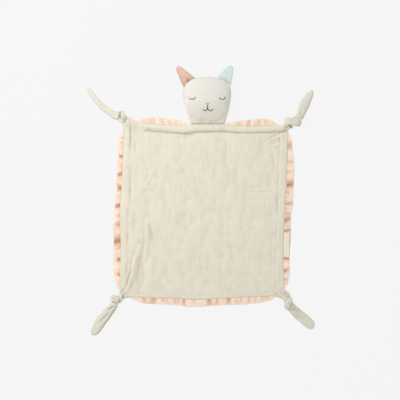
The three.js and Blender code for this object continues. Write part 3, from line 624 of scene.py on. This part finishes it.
def makeTrim(trim, seed):
    s = trimStyle
    (first, last), side = trim["span"], trim["name"].split("_")[0]
    count = int(abs(last - first) / s["step"]) + 1
    place = np.linspace(first, last, count)
    seamX, seamY, lift = seamLine(side, place)
    width = through(trim["widths"], place)
    out = np.array(outwards[side])
    t, c = place[:, None], np.array(s["columns"])[None, :]
    # cloth stands up between two tucks, and lies double and low in them
    depth, pinch = np.zeros((count, c.size)), np.zeros(count)
    for k, (at, deep, half, reach) in enumerate(trim["tucks"]):
        slant = at + 0.66 * half * (-1) ** k * c
        depth += deep * bell(t - slant, half * (1.0 + 0.3 * c)) * (1 - smooth((c - reach) / 0.3))
        pinch += deep * bell(place - at, half * 1.6) * (0.5 if reach > 0.75 else 0.2)
    depth, width = clamp(depth), width - pinch
    ripples = (mottle(t / 3.1 + 0.5 * c, c * 0.7 + seed, seed) * 0.55 * (1 - 0.5 * c)
               + mottle(t / 8, c * 0.6 + seed, seed + 1) * 0.7)
    profile = smooth(c / 0.28) * (1 - 0.35 * smooth((c - 0.6) / 0.4))
    puff = (s["puff"] * (0.55 + 0.45 * ripples) + 0.5 * ripples) * profile - 1.35 * depth * profile + 0.35 * depth
    middle = lerp(s["height"], s["outerHeight"], smooth(c)) + puff + lift[:, None] * (1 - 0.6 * c)
    half = 0.33 + 0.3 * smooth(c / 0.4) * (1 - depth)
    half = half * np.sqrt(clamp(1 - (c / 1.004) ** 14))
    across = -s["tuckUnder"] + (width[:, None] + s["tuckUnder"]) * c
    x, y = seamX[:, None] + out[0] * across, seamY[:, None] + out[1] * across
    under = np.maximum(middle - half, 0.05)
    top = np.maximum(middle + half, under + 0.12)
    # partly real, partly painted shade: the tucks darken where the voile lies double and as painted shade of their
    # folds; painted shade also in the ripples' dips, in hollows and in a thin line along the seam; the rest is tone
    # and patches at random
    shade = 0.2 * clamp(-ripples - 0.05) + 0.08 * (mottle(t / 13, c * 0.9 + seed, seed + 2) + 0.4)
    patches = trim["patches"] * clamp(mottle(t / 7.5, c * 0.7 + seed, seed + 3) + 0.1) * (1 - smooth(c / 0.75))
    paintedShadeAndTone = clamp(0.92 * trim["tone"] * depth * (1.0 - 0.3 * c) + shade + patches + 0.25 * hollows(top, 3, 0.5)
                   + 0.14 * (1 - smooth(c / 0.16)))
    shelf = np.concatenate([[0], np.cumsum(np.abs(np.diff(place)))]) * s["gatherRatio"]
    node = "trim_" + trim["name"]
    piece = layeredPiece("ruffle_" + trim["name"], together(x, y, top), together(x, y, under),
                         peachVoile, [node], together(shelf[:, None], across), paintedShadeAndTone)
    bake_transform(piece)


for number, trim in enumerate(trims):
    makeTrim(trim, 20 + 3 * number)
print("trims made")

# One tape folded over, bare. turn: how deep its folded end is; rows, flat and round: how many points run
# along it, across it and round the fold.
label = dict(fromBottom=73, length=45, width=10.4, setBack=1.0, tape=0.5, height=4.1, curl=0.8, turn=0.8,
             half=0.75, rows=40, flat=12, round=6)


def makeLabel(s):
    below = s["fromBottom"] - blanket["length"] / 2
    place = np.linspace(below, below + s["length"], s["rows"])
    seamX, seamY, _ = seamLine("right", place)
    out = np.array(outwards["right"])
    straight = s["width"] - s["turn"]
    bend = np.linspace(0.15, math.pi / 2, s["round"])
    steps = np.r_[np.linspace(0, straight, s["flat"]), straight + s["turn"] * np.sin(bend)]
    rise = np.r_[np.full(s["flat"], s["half"]), s["half"] * np.cos(bend)]
    t = np.linspace(0, 1, s["rows"])[:, None]
    wave = (0.35 * np.sin(2.2 * math.pi * t + 0.6) * steps / s["width"]
            + s["curl"] * (steps / s["width"]) ** 2 * (t - 0.5) ** 2)
    level = s["height"] - 1.3 * smooth(1 - steps / 2.5) + wave
    section = lambda side, inset: together(
        seamX[:, None] + out[0] * (s["setBack"] - 1.5 + steps - inset * (rise < s["half"] - 0.01)),
        seamY[:, None] + out[1] * steps,
        level + side * np.maximum(rise - inset, 0.02))
    outer, inner = (np.concatenate([section(1, inset), section(-1, inset)[:, ::-1]], 1) for inset in (0, s["tape"]))
    run = np.concatenate([steps, 2 * s["width"] - steps[::-1]])
    piece = layeredPiece("foldedTape", outer, inner, labelTape, ["side_label"],
                         together(place[:, None], run[None, :]))
    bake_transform(piece)


makeLabel(label)
print("label made")

# The head is drawn in its own frame: x from its centre line and y from the neck seam. Its cover is cut a
# little too large for its outline and then filled: `surplus` is that share, `start` how full it is before
# the filling presses, and `cap` the most that a point may move. shoulders: the bearing, from `middle`, of
# the upper corners of the grid.
head = dict(
    at=(6.7, 156.9), width=86, length=84, neck=60.2, widestAt=55, crown=2.25, fullAt=48, rise=27, drop=22,
    seamHeight=19, neckHeight=1.75, risenAt=42, cover=1.2, core=(0, 44, 19.0), lean=(-0.4, -1.7), middle=42,
    cells=44, rounds=200, shoulders=42, surplus=0.02, pressure=4, steps=20, start=0.95, cap=5, quality=6,
    # the share by which the cover is mixed towards its fold colour everywhere but the lower front, which so carries
    # painted light
    stiffness=8, paintedCoverShade=0.35,
)


def headHalfWidth(y):
    widest, crown = head["widestAt"], head["crown"]
    low = lerp(head["neck"] / 2, head["width"] / 2, np.sin(math.pi / 2 * clamp(y / widest)) ** 1.1)
    share = clamp((y - widest) / (head["length"] - widest))
    return np.where(y < widest, low, head["width"] / 2 * (1 - share ** crown) ** (1 / crown))


def headFullness(y):
    full = head["fullAt"]
    low = np.sin(math.pi / 2 * clamp(y / full)) ** 0.7
    return np.where(y < full, low, dome(clamp((y - full) / (head["length"] - full)), 2.6))


def seamPlane(y):
    return lerp(head["neckHeight"], head["seamHeight"], smooth(y / head["risenAt"]))


def onBlanket(x, y, z):  # from the head's frame; the cheeks lie a little to the left of the neck
    lean = lerp(*head["lean"], smooth(y / head["fullAt"]))
    return together(x + lean + head["at"][0], y + head["at"][1], z)


def headGrid(s):  # even squares inside the outline, with no point where rows run together
    even = np.linspace(-1, 1, s["cells"] + 1)
    a, b = np.meshgrid(even, even)
    p, q = a * np.sqrt(1 - b * b / 2), b * np.sqrt(1 - a * a / 2)
    y = s["length"] * np.sin(np.linspace(0, math.pi / 2, 400))
    wide, high = headHalfWidth(y), y - s["middle"]
    bearings, reach = np.degrees(np.arctan2(high, wide)), np.hypot(wide, high)
    angle = np.interp(np.degrees(np.arctan2(q, np.abs(p))), [-90, -45, 45, 90],
                      [-90, bearings[0], s["shoulders"], 90])
    sine, cosine = np.sin(np.radians(angle)), np.cos(np.radians(angle))
    toNeck = s["middle"] / np.maximum(-sine, 0.01)
    far = np.hypot(p, q) * np.where(angle < bearings[0], toNeck, np.interp(angle, bearings, reach))
    grid = together(np.sign(p) * far * cosine, s["middle"] + far * sine)
    for _ in range(s["rounds"]):
        grid[1:-1, 1:-1] = neighbours(grid) / 4
    return grid[..., 0], grid[..., 1]


def gathers(x, y, side):  # the cover is eased in at the neck and at the side seam
    gap = np.maximum(np.minimum(headHalfWidth(y) - np.abs(x), head["length"] - y), 0)
    angle = np.arctan2(y - 45, x)
    atSeam = mottle(angle * 7 + side, gap / 16 + 3, 31 + side) * 0.4 * np.exp(-gap / 8)
    atNeck = (mottle(x / 6.5, y / 26 + 2 * side, 33) - 0.2) * np.exp(-y / 13)
    return (atSeam + atNeck + 0.2 * mottle(x / 9, y / 9, 35 + side)) * smooth(gap / 3) * smooth(y / 3)


def filled(points, faces, sewn, s):  # the sewn cover under the pressure of its filling
    mesh = bpy.data.meshes.new("cover")
    mesh.from_pydata((points * 0.001).tolist(), [], [list(map(int, f)) for f in faces])
    cover = bpy.data.objects.new("cover", mesh)
    bpy.context.collection.objects.link(cover)
    cover.vertex_groups.new(name="sewn").add([int(k) for k in sewn], 1, "REPLACE")
    cloth = cover.modifiers.new("filling", "CLOTH").settings
    cloth.use_pressure = True
    cloth.uniform_pressure_force = s["pressure"]
    cloth.shrink_min = -s["surplus"]
    cloth.vertex_group_mass = "sewn"
    cloth.quality = s["quality"]
    cloth.bending_stiffness = s["stiffness"]
    cloth.effector_weights.gravity = 0
    for step in range(1, s["steps"] + 1):
        bpy.context.scene.frame_set(step)
    shape = cover.evaluated_get(bpy.context.evaluated_depsgraph_get()).data
    after = np.empty(len(shape.vertices) * 3)
    shape.vertices.foreach_get("co", after)
    bpy.data.objects.remove(cover)
    bpy.context.scene.frame_set(1)
    moved = after.reshape(-1, 3) * 1000 - points
    far = np.maximum(np.linalg.norm(moved, axis=1, keepdims=True), 1e-6)
    print("cover filled, moved up to", round(float(far.max()), 1), "mm, on average", round(float(far.mean()), 1))
    return points + moved / far * s["cap"] * np.tanh(far / s["cap"])


def refined(grid):  # one subdivision: each new point lies on a soft curve through its four neighbours
    for _ in range(2):
        grid = np.swapaxes(grid, 0, 1)
        padded = np.concatenate([[2 * grid[0] - grid[1]], grid, [2 * grid[-1] - grid[-2]]])
        out = np.empty((2 * len(grid) - 1, *grid.shape[1:]))
        out[::2], out[1::2] = grid, (9 * (padded[1:-2] + padded[2:-1]) - padded[:-3] - padded[3:]) / 16
        grid = out
    return grid


def headCovers(s):  # the front and back covers share the points of their seam
    x, y = headGrid(s)
    size = s["cells"] + 1
    bulge = dome(x / np.maximum(headHalfWidth(y), 1))
    full = headFullness(y) * s["start"]
    front = seamPlane(y) + s["rise"] * bulge ** 0.62 * full + gathers(x, y, 1)
    back = np.maximum(seamPlane(y) - s["drop"] * bulge * full - gathers(x, y, -1), 0.5)
    rim = np.ones((size, size), bool)
    rim[1:-1, 1:-1] = False
    front[rim] = back[rim] = seamPlane(y)[rim]
    frontIndex = np.arange(size * size).reshape(size, size)
    backIndex = frontIndex.copy()
    backIndex[1:-1, 1:-1] = size * size + np.arange((size - 2) ** 2).reshape(size - 2, size - 2)
    points = np.concatenate([together(x, y, front).reshape(-1, 3), together(x, y, back)[1:-1, 1:-1].reshape(-1, 3)])
    points = filled(points, np.concatenate([quads(frontIndex), quads(backIndex)[:, ::-1]]), frontIndex[rim], s)
    return refined(points[frontIndex]), refined(points[backIndex])


def makeHead(s):
    front, back = headCovers(s)
    back[..., 2] = settled(back[..., 2], 0.3, 1.2)
    back[..., 2] = np.minimum(back[..., 2], np.maximum(seamPlane(back[..., 1]), 0.4))
    place = lambda grid: onBlanket(*np.moveaxis(grid, -1, 0))
    for side, name, outer, nodes in ((1, "headFace", front, ["head_front", "head_filling"]),
                                     (-1, "headBack", back, ["head_back"])):
        inner = outer + unit(np.array(s["core"]) - outer) * s["cover"]
        inner[..., 1] = np.maximum(inner[..., 1], 0.2)
        upper, lower = (outer, inner)[::side]
        # painted light and shade: all of the cover but its lower front is mixed a share towards its grey fold colour,
        # so the front from below the eyes down to the neck reads lighter, as light bounced up from the blanket would
        # leave it; dips in the cover are painted with shade too
        paintedCoverShade = s["paintedCoverShade"] * (smooth((outer[..., 1] + 0.1 * outer[..., 0] - 27) / 17) if side > 0 else 1)
        piece = layeredPiece(name, place(upper), place(lower), brushedCotton, nodes,
                             outer[..., :2], 0.5 * hollows(outer[..., 2] * side, 6, 1.0) + paintedCoverShade)
        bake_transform(piece)
    return BVHTree.FromPolygons(front.reshape(-1, 3).tolist(), gridFaces(*front.shape[:2]).tolist())


headSurface = makeHead(head)
print("head made")

# The face is worked in floss. An eyelid's line is from the eye's middle, the mouth's from the centre line.
# Each stitch of the nose runs from a point on its upper edge down to its tip.
face = dict(
    aside=0.2, floss=1.0, mouthFloss=1.2, noseFloss=0.95, stitch=3.2, slant=0.34, eyeSpacing=53.4, eyesAt=46.6,
    eyelid=[(-5.5, -0.6), (-3.4, -3.3), (0.3, -3.9), (3.6, -2.8), (5.5, 0.6)],
    mouth=[[(-8.4, 25.9), (-7.4, 24.0), (-4.4, 22.6), (-1.6, 24.2), (0, 27.2)],
           [(0, 27.2), (1.8, 24.2), (4.8, 22.6), (8.0, 23.8), (9.8, 26.4)], [(0, 32), (0, 29.5), (0, 27.2)]],
    noseStitches=13, noseTop=(3.5, 36.2, -0.4), noseTip=(0.7, 31.8, 1.4),  # half width, height, slope
)


def faceHeight(x, y):  # straight down onto the filled cover
    return np.array([headSurface.ray_cast(Vector((a, b, 200)), Vector((0, 0, -1)))[0].z for a, b in zip(x, y)])


def onFace(x, y, lift):
    slopeX = faceHeight(x + 0.5, y) - faceHeight(x - 0.5, y)
    slopeY = faceHeight(x, y + 0.5) - faceHeight(x, y - 0.5)
    out = unit(together(-slopeX, -slopeY, 1))
    return onBlanket(x, y, faceHeight(x, y)) + out * lift, out


def stitches(lines, diameter):  # each line is one stitch: plump in the middle, drawn in at its ends
    rings, sides, girth, run = 9, 8, 3.6, 3.4
    plump = 0.35 + 0.65 * np.sin(math.pi * np.linspace(0.06, 0.94, rings)) ** 0.6
    points, faces = [], []
    for k, line in enumerate(lines):
        course, out = onFace(*evenly(np.asarray(line, float), rings).T, diameter * 0.3)
        course = course - out * (1 - plump[:, None]) * diameter * 0.5
        faces += tubeFaces(rings, sides, k * (rings * sides + 2))
        points.append(tubePoints(sweep(course, out, diameter / 2 * plump * 1.1, diameter / 2 * plump * 0.85, sides)))
    flat = together(np.linspace(0, girth, sides)[None, :], np.linspace(0, run, rings)[:, None]).reshape(-1, 2)
    return np.concatenate(points), faces, np.tile(np.concatenate([flat, [[0, 0], [0, run]]]), (len(lines), 1))


def stemStitch(course, s):  # stitches that overlap by half, like a fine rope
    dense = evenly(course, 200)
    count = max(2, round(2 * np.linalg.norm(np.diff(dense, axis=0), axis=1).sum() / s["stitch"]))
    lines = []
    for k in range(count):
        a, b = max(0, (k - 0.5) / count), min(1, (k + 1.5) / count)
        part = dense[int(a * 199):int(b * 199) + 1]
        ahead = unit(part[-1] - part[0])
        aside = np.linspace(-s["slant"], s["slant"], len(part))[:, None]
        lines.append(part + np.array([-ahead[1], ahead[0]]) * aside)
    return lines


def curve(points, origin):  # a soft line through a few points
    points = np.array(points, float) + origin
    padded = np.concatenate([[2 * points[0] - points[1]], points, [2 * points[-1] - points[-2]]])
    t = np.linspace(0, 1, 40)[:, None]
    parts = [0.5 * (2 * b + (c - a) * t + (2 * a - 5 * b + 4 * c - d) * t ** 2 + (3 * b - a - 3 * c + d) * t ** 3)
             for a, b, c, d in zip(padded, padded[1:], padded[2:], padded[3:])]
    return evenly(np.concatenate(parts), 200)


def makeFace(s):
    a = s["aside"]
    left, right = (stemStitch(curve(s["eyelid"], (a + side * s["eyeSpacing"] / 2, s["eyesAt"])), s)
                   for side in (-1, 1))
    # satin stitch, laid side by side from the top corners down to the tip
    nose = [[(a + k * half, height + slope * abs(k)) for half, height, slope in (s["noseTop"], s["noseTip"])]
            for k in np.linspace(-1, 1, s["noseStitches"])]
    mouth = sum([stemStitch(curve(line, (a, 0)), s) for line in s["mouth"]], [])
    for name, lines, diameter, look, slot, node in (
            ("eyelid_left", left, s["floss"], greyFloss, "grey_floss", "eye_left"),
            ("eyelid_right", right, s["floss"], greyFloss, "grey_floss", "eye_right"),
            ("noseStitches", nose, s["noseFloss"], pinkFloss, "pink_floss", "nose"),
            ("mouthStitches", mouth, s["mouthFloss"], greyFloss, "grey_floss", "mouth")):
        points, faces, uv = stitches(lines, diameter)
        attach(makePiece(name, points, faces, look, [node], uv), "head")


makeFace(face)
print("face made")

# The ears are two layers each, sewn into the side seam, and are drawn in the head's frame.
# crease: where it runs and how dark the painted shade in it is; edge: how much darker one side is drawn; cup: how
# much one side stands above the other.
# The declared flat area as a share of width times length, a guess; the drawn outline's is about 0.66.
earStyle = dict(cloth=0.75, puff=1.7, apart=0.15, flatShare=0.55, rows=46, columns=40)
ears = [
    dict(name="left", feet=((-42.6, 66.0), (-20.5, 81.2)), tip=(-53.8, 102.2), tipWidth=8.0, bow=0.5, cup=1.3,
         crease=(0.02, 0.95), edge=0.5, look=peachCloth, slot="peach_cloth"),
    dict(name="right", feet=((17.9, 81.6), (43.2, 69.8)), tip=(43.6, 104.2), tipWidth=8.0, bow=0.8, cup=0.5,
         crease=(0.2, 0.3), edge=0.1, look=mintCloth, slot="mint_cloth"),
]


def makeEar(ear):
    s = earStyle
    u, v = np.meshgrid(np.linspace(0, 1, s["columns"]), np.linspace(0, 1, s["rows"]))
    w = 2 * u - 1
    feet, tip = np.array(ear["feet"], float), np.array(ear["tip"], float)
    root = unit(tip - feet.mean(0))
    across = np.array([root[1], -root[0]])
    # the foot is sewn into the seam, so it follows the head's outline and stays a little inside it
    foot = lerp(feet[0], feet[1], u[..., None]) + root * (2.6 * (1 - w ** 2) - 1.8)[..., None]
    # the tip is round: the outer columns stop a little short of it
    height = (v * (1 - 0.13 * np.abs(w) ** 2.5 * smooth((v - 0.6) / 0.4)))[..., None]
    top = tip + across * (w * ear["tipWidth"] / 2)[..., None]
    place = foot * (1 - height) + top * height + across * (np.sin(math.pi * height) * w[..., None] * ear["bow"])
    body = dome(w) * np.sin(math.pi * clamp(0.12 + 0.83 * v)) ** 0.7
    puff = s["puff"] * body - 0.14 * bell(1 - np.abs(w), 0.16) + 0.12 * mottle(w * 3, v * 6, 50)
    creaseAt, tone = ear["crease"]
    crease = -1.5 * bell(w - creaseAt, 0.2) * np.exp(-v / 0.22) + 0.5 * bell(w + 0.35, 0.25) * np.exp(-v / 0.3)
    dented = puff + crease * smooth((v - 0.02) / 0.05)
    # painted shade in the crease and at the foot against the head, darker towards the sides, and tone at random
    paintedShadeAndTone = clamp(tone * bell(w - creaseAt, 0.24) * bell(v, 0.2) + 0.35 * tone * np.exp(-v / 0.06)
                   + ear["edge"] * clamp(-w) ** 4 + 0.1 * np.abs(w) ** 5 + 0.16 * (mottle(w * 4, v * 7, 51) + 0.3))
    middle = head["seamHeight"] + ear["cup"] * w * np.sin(math.pi * v)
    x, y, foot = place[..., 0], place[..., 1], place[0, s["columns"] // 2]
    # the back layer is of the head's cloth and carries the same painted cover shade
    for layer, name, node, swell, shade, look, slot in (
            (1, "inside", "front", dented, paintedShadeAndTone, ear["look"], ear["slot"]),
            (-1, "outside", "back", puff, np.full_like(paintedShadeAndTone, head["paintedCoverShade"]), brushedCotton, "cream_cotton")):
        outer = middle + layer * (s["apart"] + s["cloth"] + np.maximum(swell, 0))
        inner = middle + layer * (0.12 + np.maximum(puff * 0.9 - 0.1, 0))
        inner = layer * np.minimum(layer * inner, layer * outer - 0.1)
        upper, lower = (onBlanket(x, y, lift) for lift in (outer, inner)[::layer])
        piece = layeredPiece(f"ear_{ear['name']}_{name}", upper, lower, look, [f"ear_{ear['name']}_{node}"],
                             place, shade)
        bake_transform(piece)


for ear in ears:
    makeEar(ear)
print("ears made")

# each knot is a core of gathered cloth and the turn of cloth pulled tight round it
knotStyle = dict(band=2.8, coreRings=64, bandRings=96, fillRings=26, sides=36, rounds=60, pleats=0.07)
up = np.array([0.0, 0, 1])


def pleated(angle, along, seed, deep):  # gathers that run along a bundle of cloth
    lines = np.cos(5 * angle + seed + 0.8 * np.sin(along * 0.9)) + 0.6 * np.cos(9 * angle - 2 * seed + along * 0.5)
    uneven = mottle(1.5 * np.cos(angle) + seed, along * 0.6 + 1.5 * np.sin(angle), seed)
    return deep * lines * 0.5 + deep * 1.2 * uneven


def wrapLevel(height, wrap):
    return height * (0.45 + 0.55 * wrap["rise"])


def knotWrap(centre, height, wrap, seed):  # a closed turn of cloth: wide on top and drawn in underneath
    s = knotStyle
    turn, angle = ringAngles(s["bandRings"]), ringAngles(s["sides"])[None, :]
    way = bearing(wrap["angle"])
    aside = np.array([-way[1], way[0]])
    middle, level = centre + wrap["at"], wrapLevel(height, wrap)
    reach, tall = wrap["half"] - s["band"] * 0.8, height * wrap["rise"] - s["band"] * 0.6
    flatness = np.sign(np.cos(turn)) * np.abs(np.cos(turn)) ** 0.8
    band = np.column_stack([middle + way * (reach * flatness)[:, None] + aside * (0.9 * np.sin(turn + 0.6))[:, None],
                            level + tall * np.sin(turn)])
    wide = (wrap["width"] * (0.72 + 0.28 * np.sin(turn))
            * (1 + 0.1 * np.sin(2 * turn + seed) + 0.06 * np.cos(3 * turn + 2 * seed)))
    ahead = unit(np.gradient(np.concatenate([band[-3:], band, band[:3]]), axis=0))[3:-3]
    across, thin = sideways(ahead, band - [*middle, level])
    pleat = pleated(angle, (4 + 3 * np.cos(turn))[:, None], seed + 1, 0.1)
    rings = (band[:, None] + across[:, None] * (np.cos(angle) * wide[:, None] * (1 + 0.3 * pleat))[..., None]
             + thin[:, None] * (np.sin(angle) * s["band"] * (1 + 1.6 * pleat))[..., None])
    # painted shade in the pleats' valleys and along both edges of the band
    return rings, np.clip(-pleat * 4, 0, 0.5) + 0.35 * np.abs(np.cos(angle)) ** 8


def knotFill(centre, height, wrap, seed):  # the cloth that a turn goes round, so that no light shows through it
    t = np.linspace(-0.99, 0.99, knotStyle["fillRings"])
    line = centre + wrap["at"] + bearing(wrap["angle"]) * (t * (wrap["half"] - 1.5))[:, None]
    course = np.column_stack([line, np.full(len(t), wrapLevel(height, wrap))])
    pleats = pleated(ringAngles(knotStyle["sides"])[None, :], np.linspace(0, 5, len(t))[:, None], seed, 0.05)
    return sweep(course, up, wrap["width"] * 0.8 * dome(t) ** 0.6, height * wrap["rise"] * 0.86 * dome(t) ** 0.8,
                 knotStyle["sides"], pleats)


def clothTurn(corner, wrap, number, seed):  # a turn of cloth, and what it goes round
    rings, shade = knotWrap(corner["centre"], corner["height"], wrap, seed + 2 * number)
    fill = knotFill(corner["centre"], corner["height"], wrap, seed + 7 + number)
    uv = together(ringAngles(knotStyle["sides"])[None, :] * 5, np.arange(len(rings))[:, None] * 0.5)
    # the fill is painted in shade throughout
    fillShade, fillUv = np.full(fill.shape[:2], 0.35), fill[..., :2] + fill[..., 2:]
    return [(loopFaces, rings, shade, uv), (tubeFaces, fill, fillShade, fillUv)]


def tiedPiece(name, parts, corner, nodes=()):  # each part: how its rings join, the rings, shading and uv
    points, faces, paintedShadeAndTone, uv = [], [], [], []
    for join, rings, shade, flat in parts:
        ends = 0 if join is loopFaces else 2
        faces += join(len(rings), rings.shape[1], sum(len(p) for p in points))
        points.append(tubePoints(rings)[:rings.shape[0] * rings.shape[1] + ends])
        paintedShadeAndTone.append(np.append(shade, np.zeros(ends)))
        uv.append(np.concatenate([flat.reshape(-1, 2), np.zeros((ends, 2))]))
    points = np.concatenate(points)
    crease = creased(points[:, 0], points[:, 1], corner) * (points[:, 2] > 0.5 * corner["height"])
    points[:, 2] = settled(points[:, 2] - 2.4 * crease, 0.25, 0.5)
    # painted shade: half of each part's own, and the creases darkest
    shade = np.maximum(0.5 * clamp(np.concatenate(paintedShadeAndTone)), crease)
    return makePiece(name, points, faces, tiedMuslin, nodes, np.concatenate(uv), shade)


def liftWithTail(piece):  # bakes the piece's place into its points
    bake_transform(piece)


def makeKnot(name, corner, seed):
    s = knotStyle
    centre, high, radius = corner["centre"], corner["height"], corner["radius"]
    inward, outward = bearing(corner["towards"]), bearing(corner["heading"])
    # core: from the drawn-in corner, through the knot and out along the tail
    t = np.linspace(-1, 1, s["coreRings"])
    start = centre - inward * min(corner["reach"], radius + 2)
    end = centre + outward * (radius + 3) + np.array([-outward[1], outward[0]]) * corner["drift"][0][1]
    flat = np.where(t[:, None] < 0, lerp(centre, start, -t[:, None]), lerp(centre, end, t[:, None]))
    for _ in range(s["rounds"]):
        flat[1:-1] = (flat[:-2] + flat[2:]) / 2
    swell = corner["core"] * (0.78 + 0.22 * bell(t, 0.7))
    along, angle = np.linspace(0, 8, len(t))[:, None], ringAngles(s["sides"])[None, :]
    pleats = pleated(angle, along, seed, s["pleats"])
    course = np.column_stack([flat, np.full(len(t), high)])
    rings = sweep(course, up, swell, swell * 0.82, s["sides"], pleats)
    # painted shade in the valleys of the pleats
    shade, uv = np.clip(-pleats * 5, 0, 0.5), together(angle * 6, along * 4)
    # its outer half is the tail's root, drawn as a piece of its own
    split = int(np.searchsorted(t, 0.5 * radius / (radius + 3)))
    core, root = ([(tubeFaces, rings[part], shade[part], uv[part])]
                  for part in (slice(None, split + 1), slice(split, None)))
    for number, wrap in enumerate(corner["wraps"]):
        core += clothTurn(corner, wrap, number, seed)
    knot = tiedPiece("tiedKnot_" + name, core, corner, ["knot_" + name])
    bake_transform(knot)
    liftWithTail(tiedPiece("tailRoot_" + name, root, corner))
    if "cornerFold" in corner:  # a fold of the drawn-in corner, beside the knot
        number, wrap = corner["cornerFold"]
        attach(tiedPiece("cornerFold_" + name, clothTurn(corner, wrap, number, seed), corner), "blanket")


# the tails are two layers, full past the middle and round at the end; `first` is a share of the knot's radius
# allowance: how many times the drawn outline's area the flat area is, a guess; how many times the drawn
# outline's area the declared flat area is, a guess
tailStyle = dict(thickness=7, cloth=1.2, apart=0.15, thinnest=0.5, first=0.72, allowance=1.05, rows=110,
                 columns=30, steps=24)


def tailCourse(corner, distance):  # the middle line, and the way across it
    heading = lambda share: np.radians(corner["heading"] + corner["bend"] * share * distance / corner["length"])
    middle = np.repeat(corner["centre"][None], len(distance), 0)
    for step in range(tailStyle["steps"]):
        angle = heading((step + 0.5) / tailStyle["steps"])
        middle = middle + together(np.cos(angle), np.sin(angle)) * (distance / tailStyle["steps"])[:, None]
    return middle, together(np.sin(heading(1)), -np.cos(heading(1)))


def makeTail(name, corner, seed):
    s = tailStyle
    first, long, radius = corner["radius"] * s["first"], corner["length"] - corner["short"], corner["radius"]
    distance = lerp(first, long, 1 - (1 - np.linspace(0, 1, s["rows"])) ** 1.5)
    share = clamp((distance - radius - 0.4) / (long - radius - 0.4))
    middle, across = tailCourse(corner, distance)
    middle = middle - across * through(corner["drift"], share)[:, None]
    end = clamp((share - corner["end"]) / (1 - corner["end"]))
    half = through(corner["widths"], share) / 2 * np.sqrt(clamp(1.0004 - end ** 2.3))
    half = half * (1 + 0.03 * mottle(share * 5, seed, seed))
    widest = max(width for _, width in corner["widths"])
    w = np.sin(np.linspace(-math.pi / 2, math.pi / 2, s["columns"]))[None, :]
    share, along, n = share[:, None], distance[:, None], half[:, None]
    x, y = (middle[:, k, None] + across[:, k, None] * w * n for k in (0, 1))
    level = lerp(corner["height"], s["thickness"] / 2 - 0.6, smooth(share / 0.4))
    narrow = clamp(n / (widest / 2))
    bulge = (s["thickness"] / 2 - s["cloth"] * 0.4) * dome(w) ** 0.9 * narrow ** 0.6
    near = np.exp(-share / 0.16)
    # gathers run out from the knot and die away towards the end
    gather = (np.cos(w * 6 + seed) * 0.6 + np.cos(w * 11 + 2 * seed) * 0.3) * near
    for height, width, line in corner["folds"]:
        away, part = alongLine(along + 0 * w, w * n, line)
        gather = gather + height * bell(away, width, 1.6) * fading(part, 0.2)
    wrinkle = (0.4 * mottle(w * 1.4 + seed, share * 5 + w * 0.8, seed + 1)
               + 0.08 * mottle(w * 3, share * 14, seed + 2))
    seam = -0.5 * bell(1 - np.abs(w), 0.07)
    side, tone = corner["edge"]
    for layer, part, full, detail, dark in ((1, "front", 1, gather + wrinkle, tone),
                                            (-1, "back", 0.62, 0.6 * gather - 0.5 * wrinkle, 0.25 * tone)):
        surface = np.maximum(bulge * full + (detail + seam) * dome(w) ** 0.5 * narrow, 0)
        outer = level + layer * (s["apart"] + s["thinnest"] + surface)
        inner = level + layer * (s["apart"] + np.maximum(surface - s["cloth"] * 0.6, 0))
        if layer < 0:
            outer = settled(outer, 0.08, 0.5)
            inner = np.maximum(inner, outer + 0.15)
        upper, lower = (together(x, y, np.maximum(z, 0.03)) for z in (outer, inner)[::layer])
        # painted shade in dips, near the knot where the cloth lies low, and along the edge on `side`, the one turned
        # from the lamp; the back layer gets a quarter of that edge's
        paintedShadeAndTone = clamp(0.38 * hollows(surface, 3, 0.5) + 0.25 * near * (surface < bulge * 0.8)
                       + dark * bell(1 - side * w, 0.16))
        piece = layeredPiece(f"tailCloth_{name}_{part}", upper, lower, tiedMuslin,
                             [f"tail_{name}_{part}"], together(w * n, along), paintedShadeAndTone)
        liftWithTail(piece)


for number, (name, corner) in enumerate(corners.items()):
    makeKnot(name, corner, 60 + 5 * number)
    makeTail(name, corner, 80 + 5 * number)
print("knots and tails made")
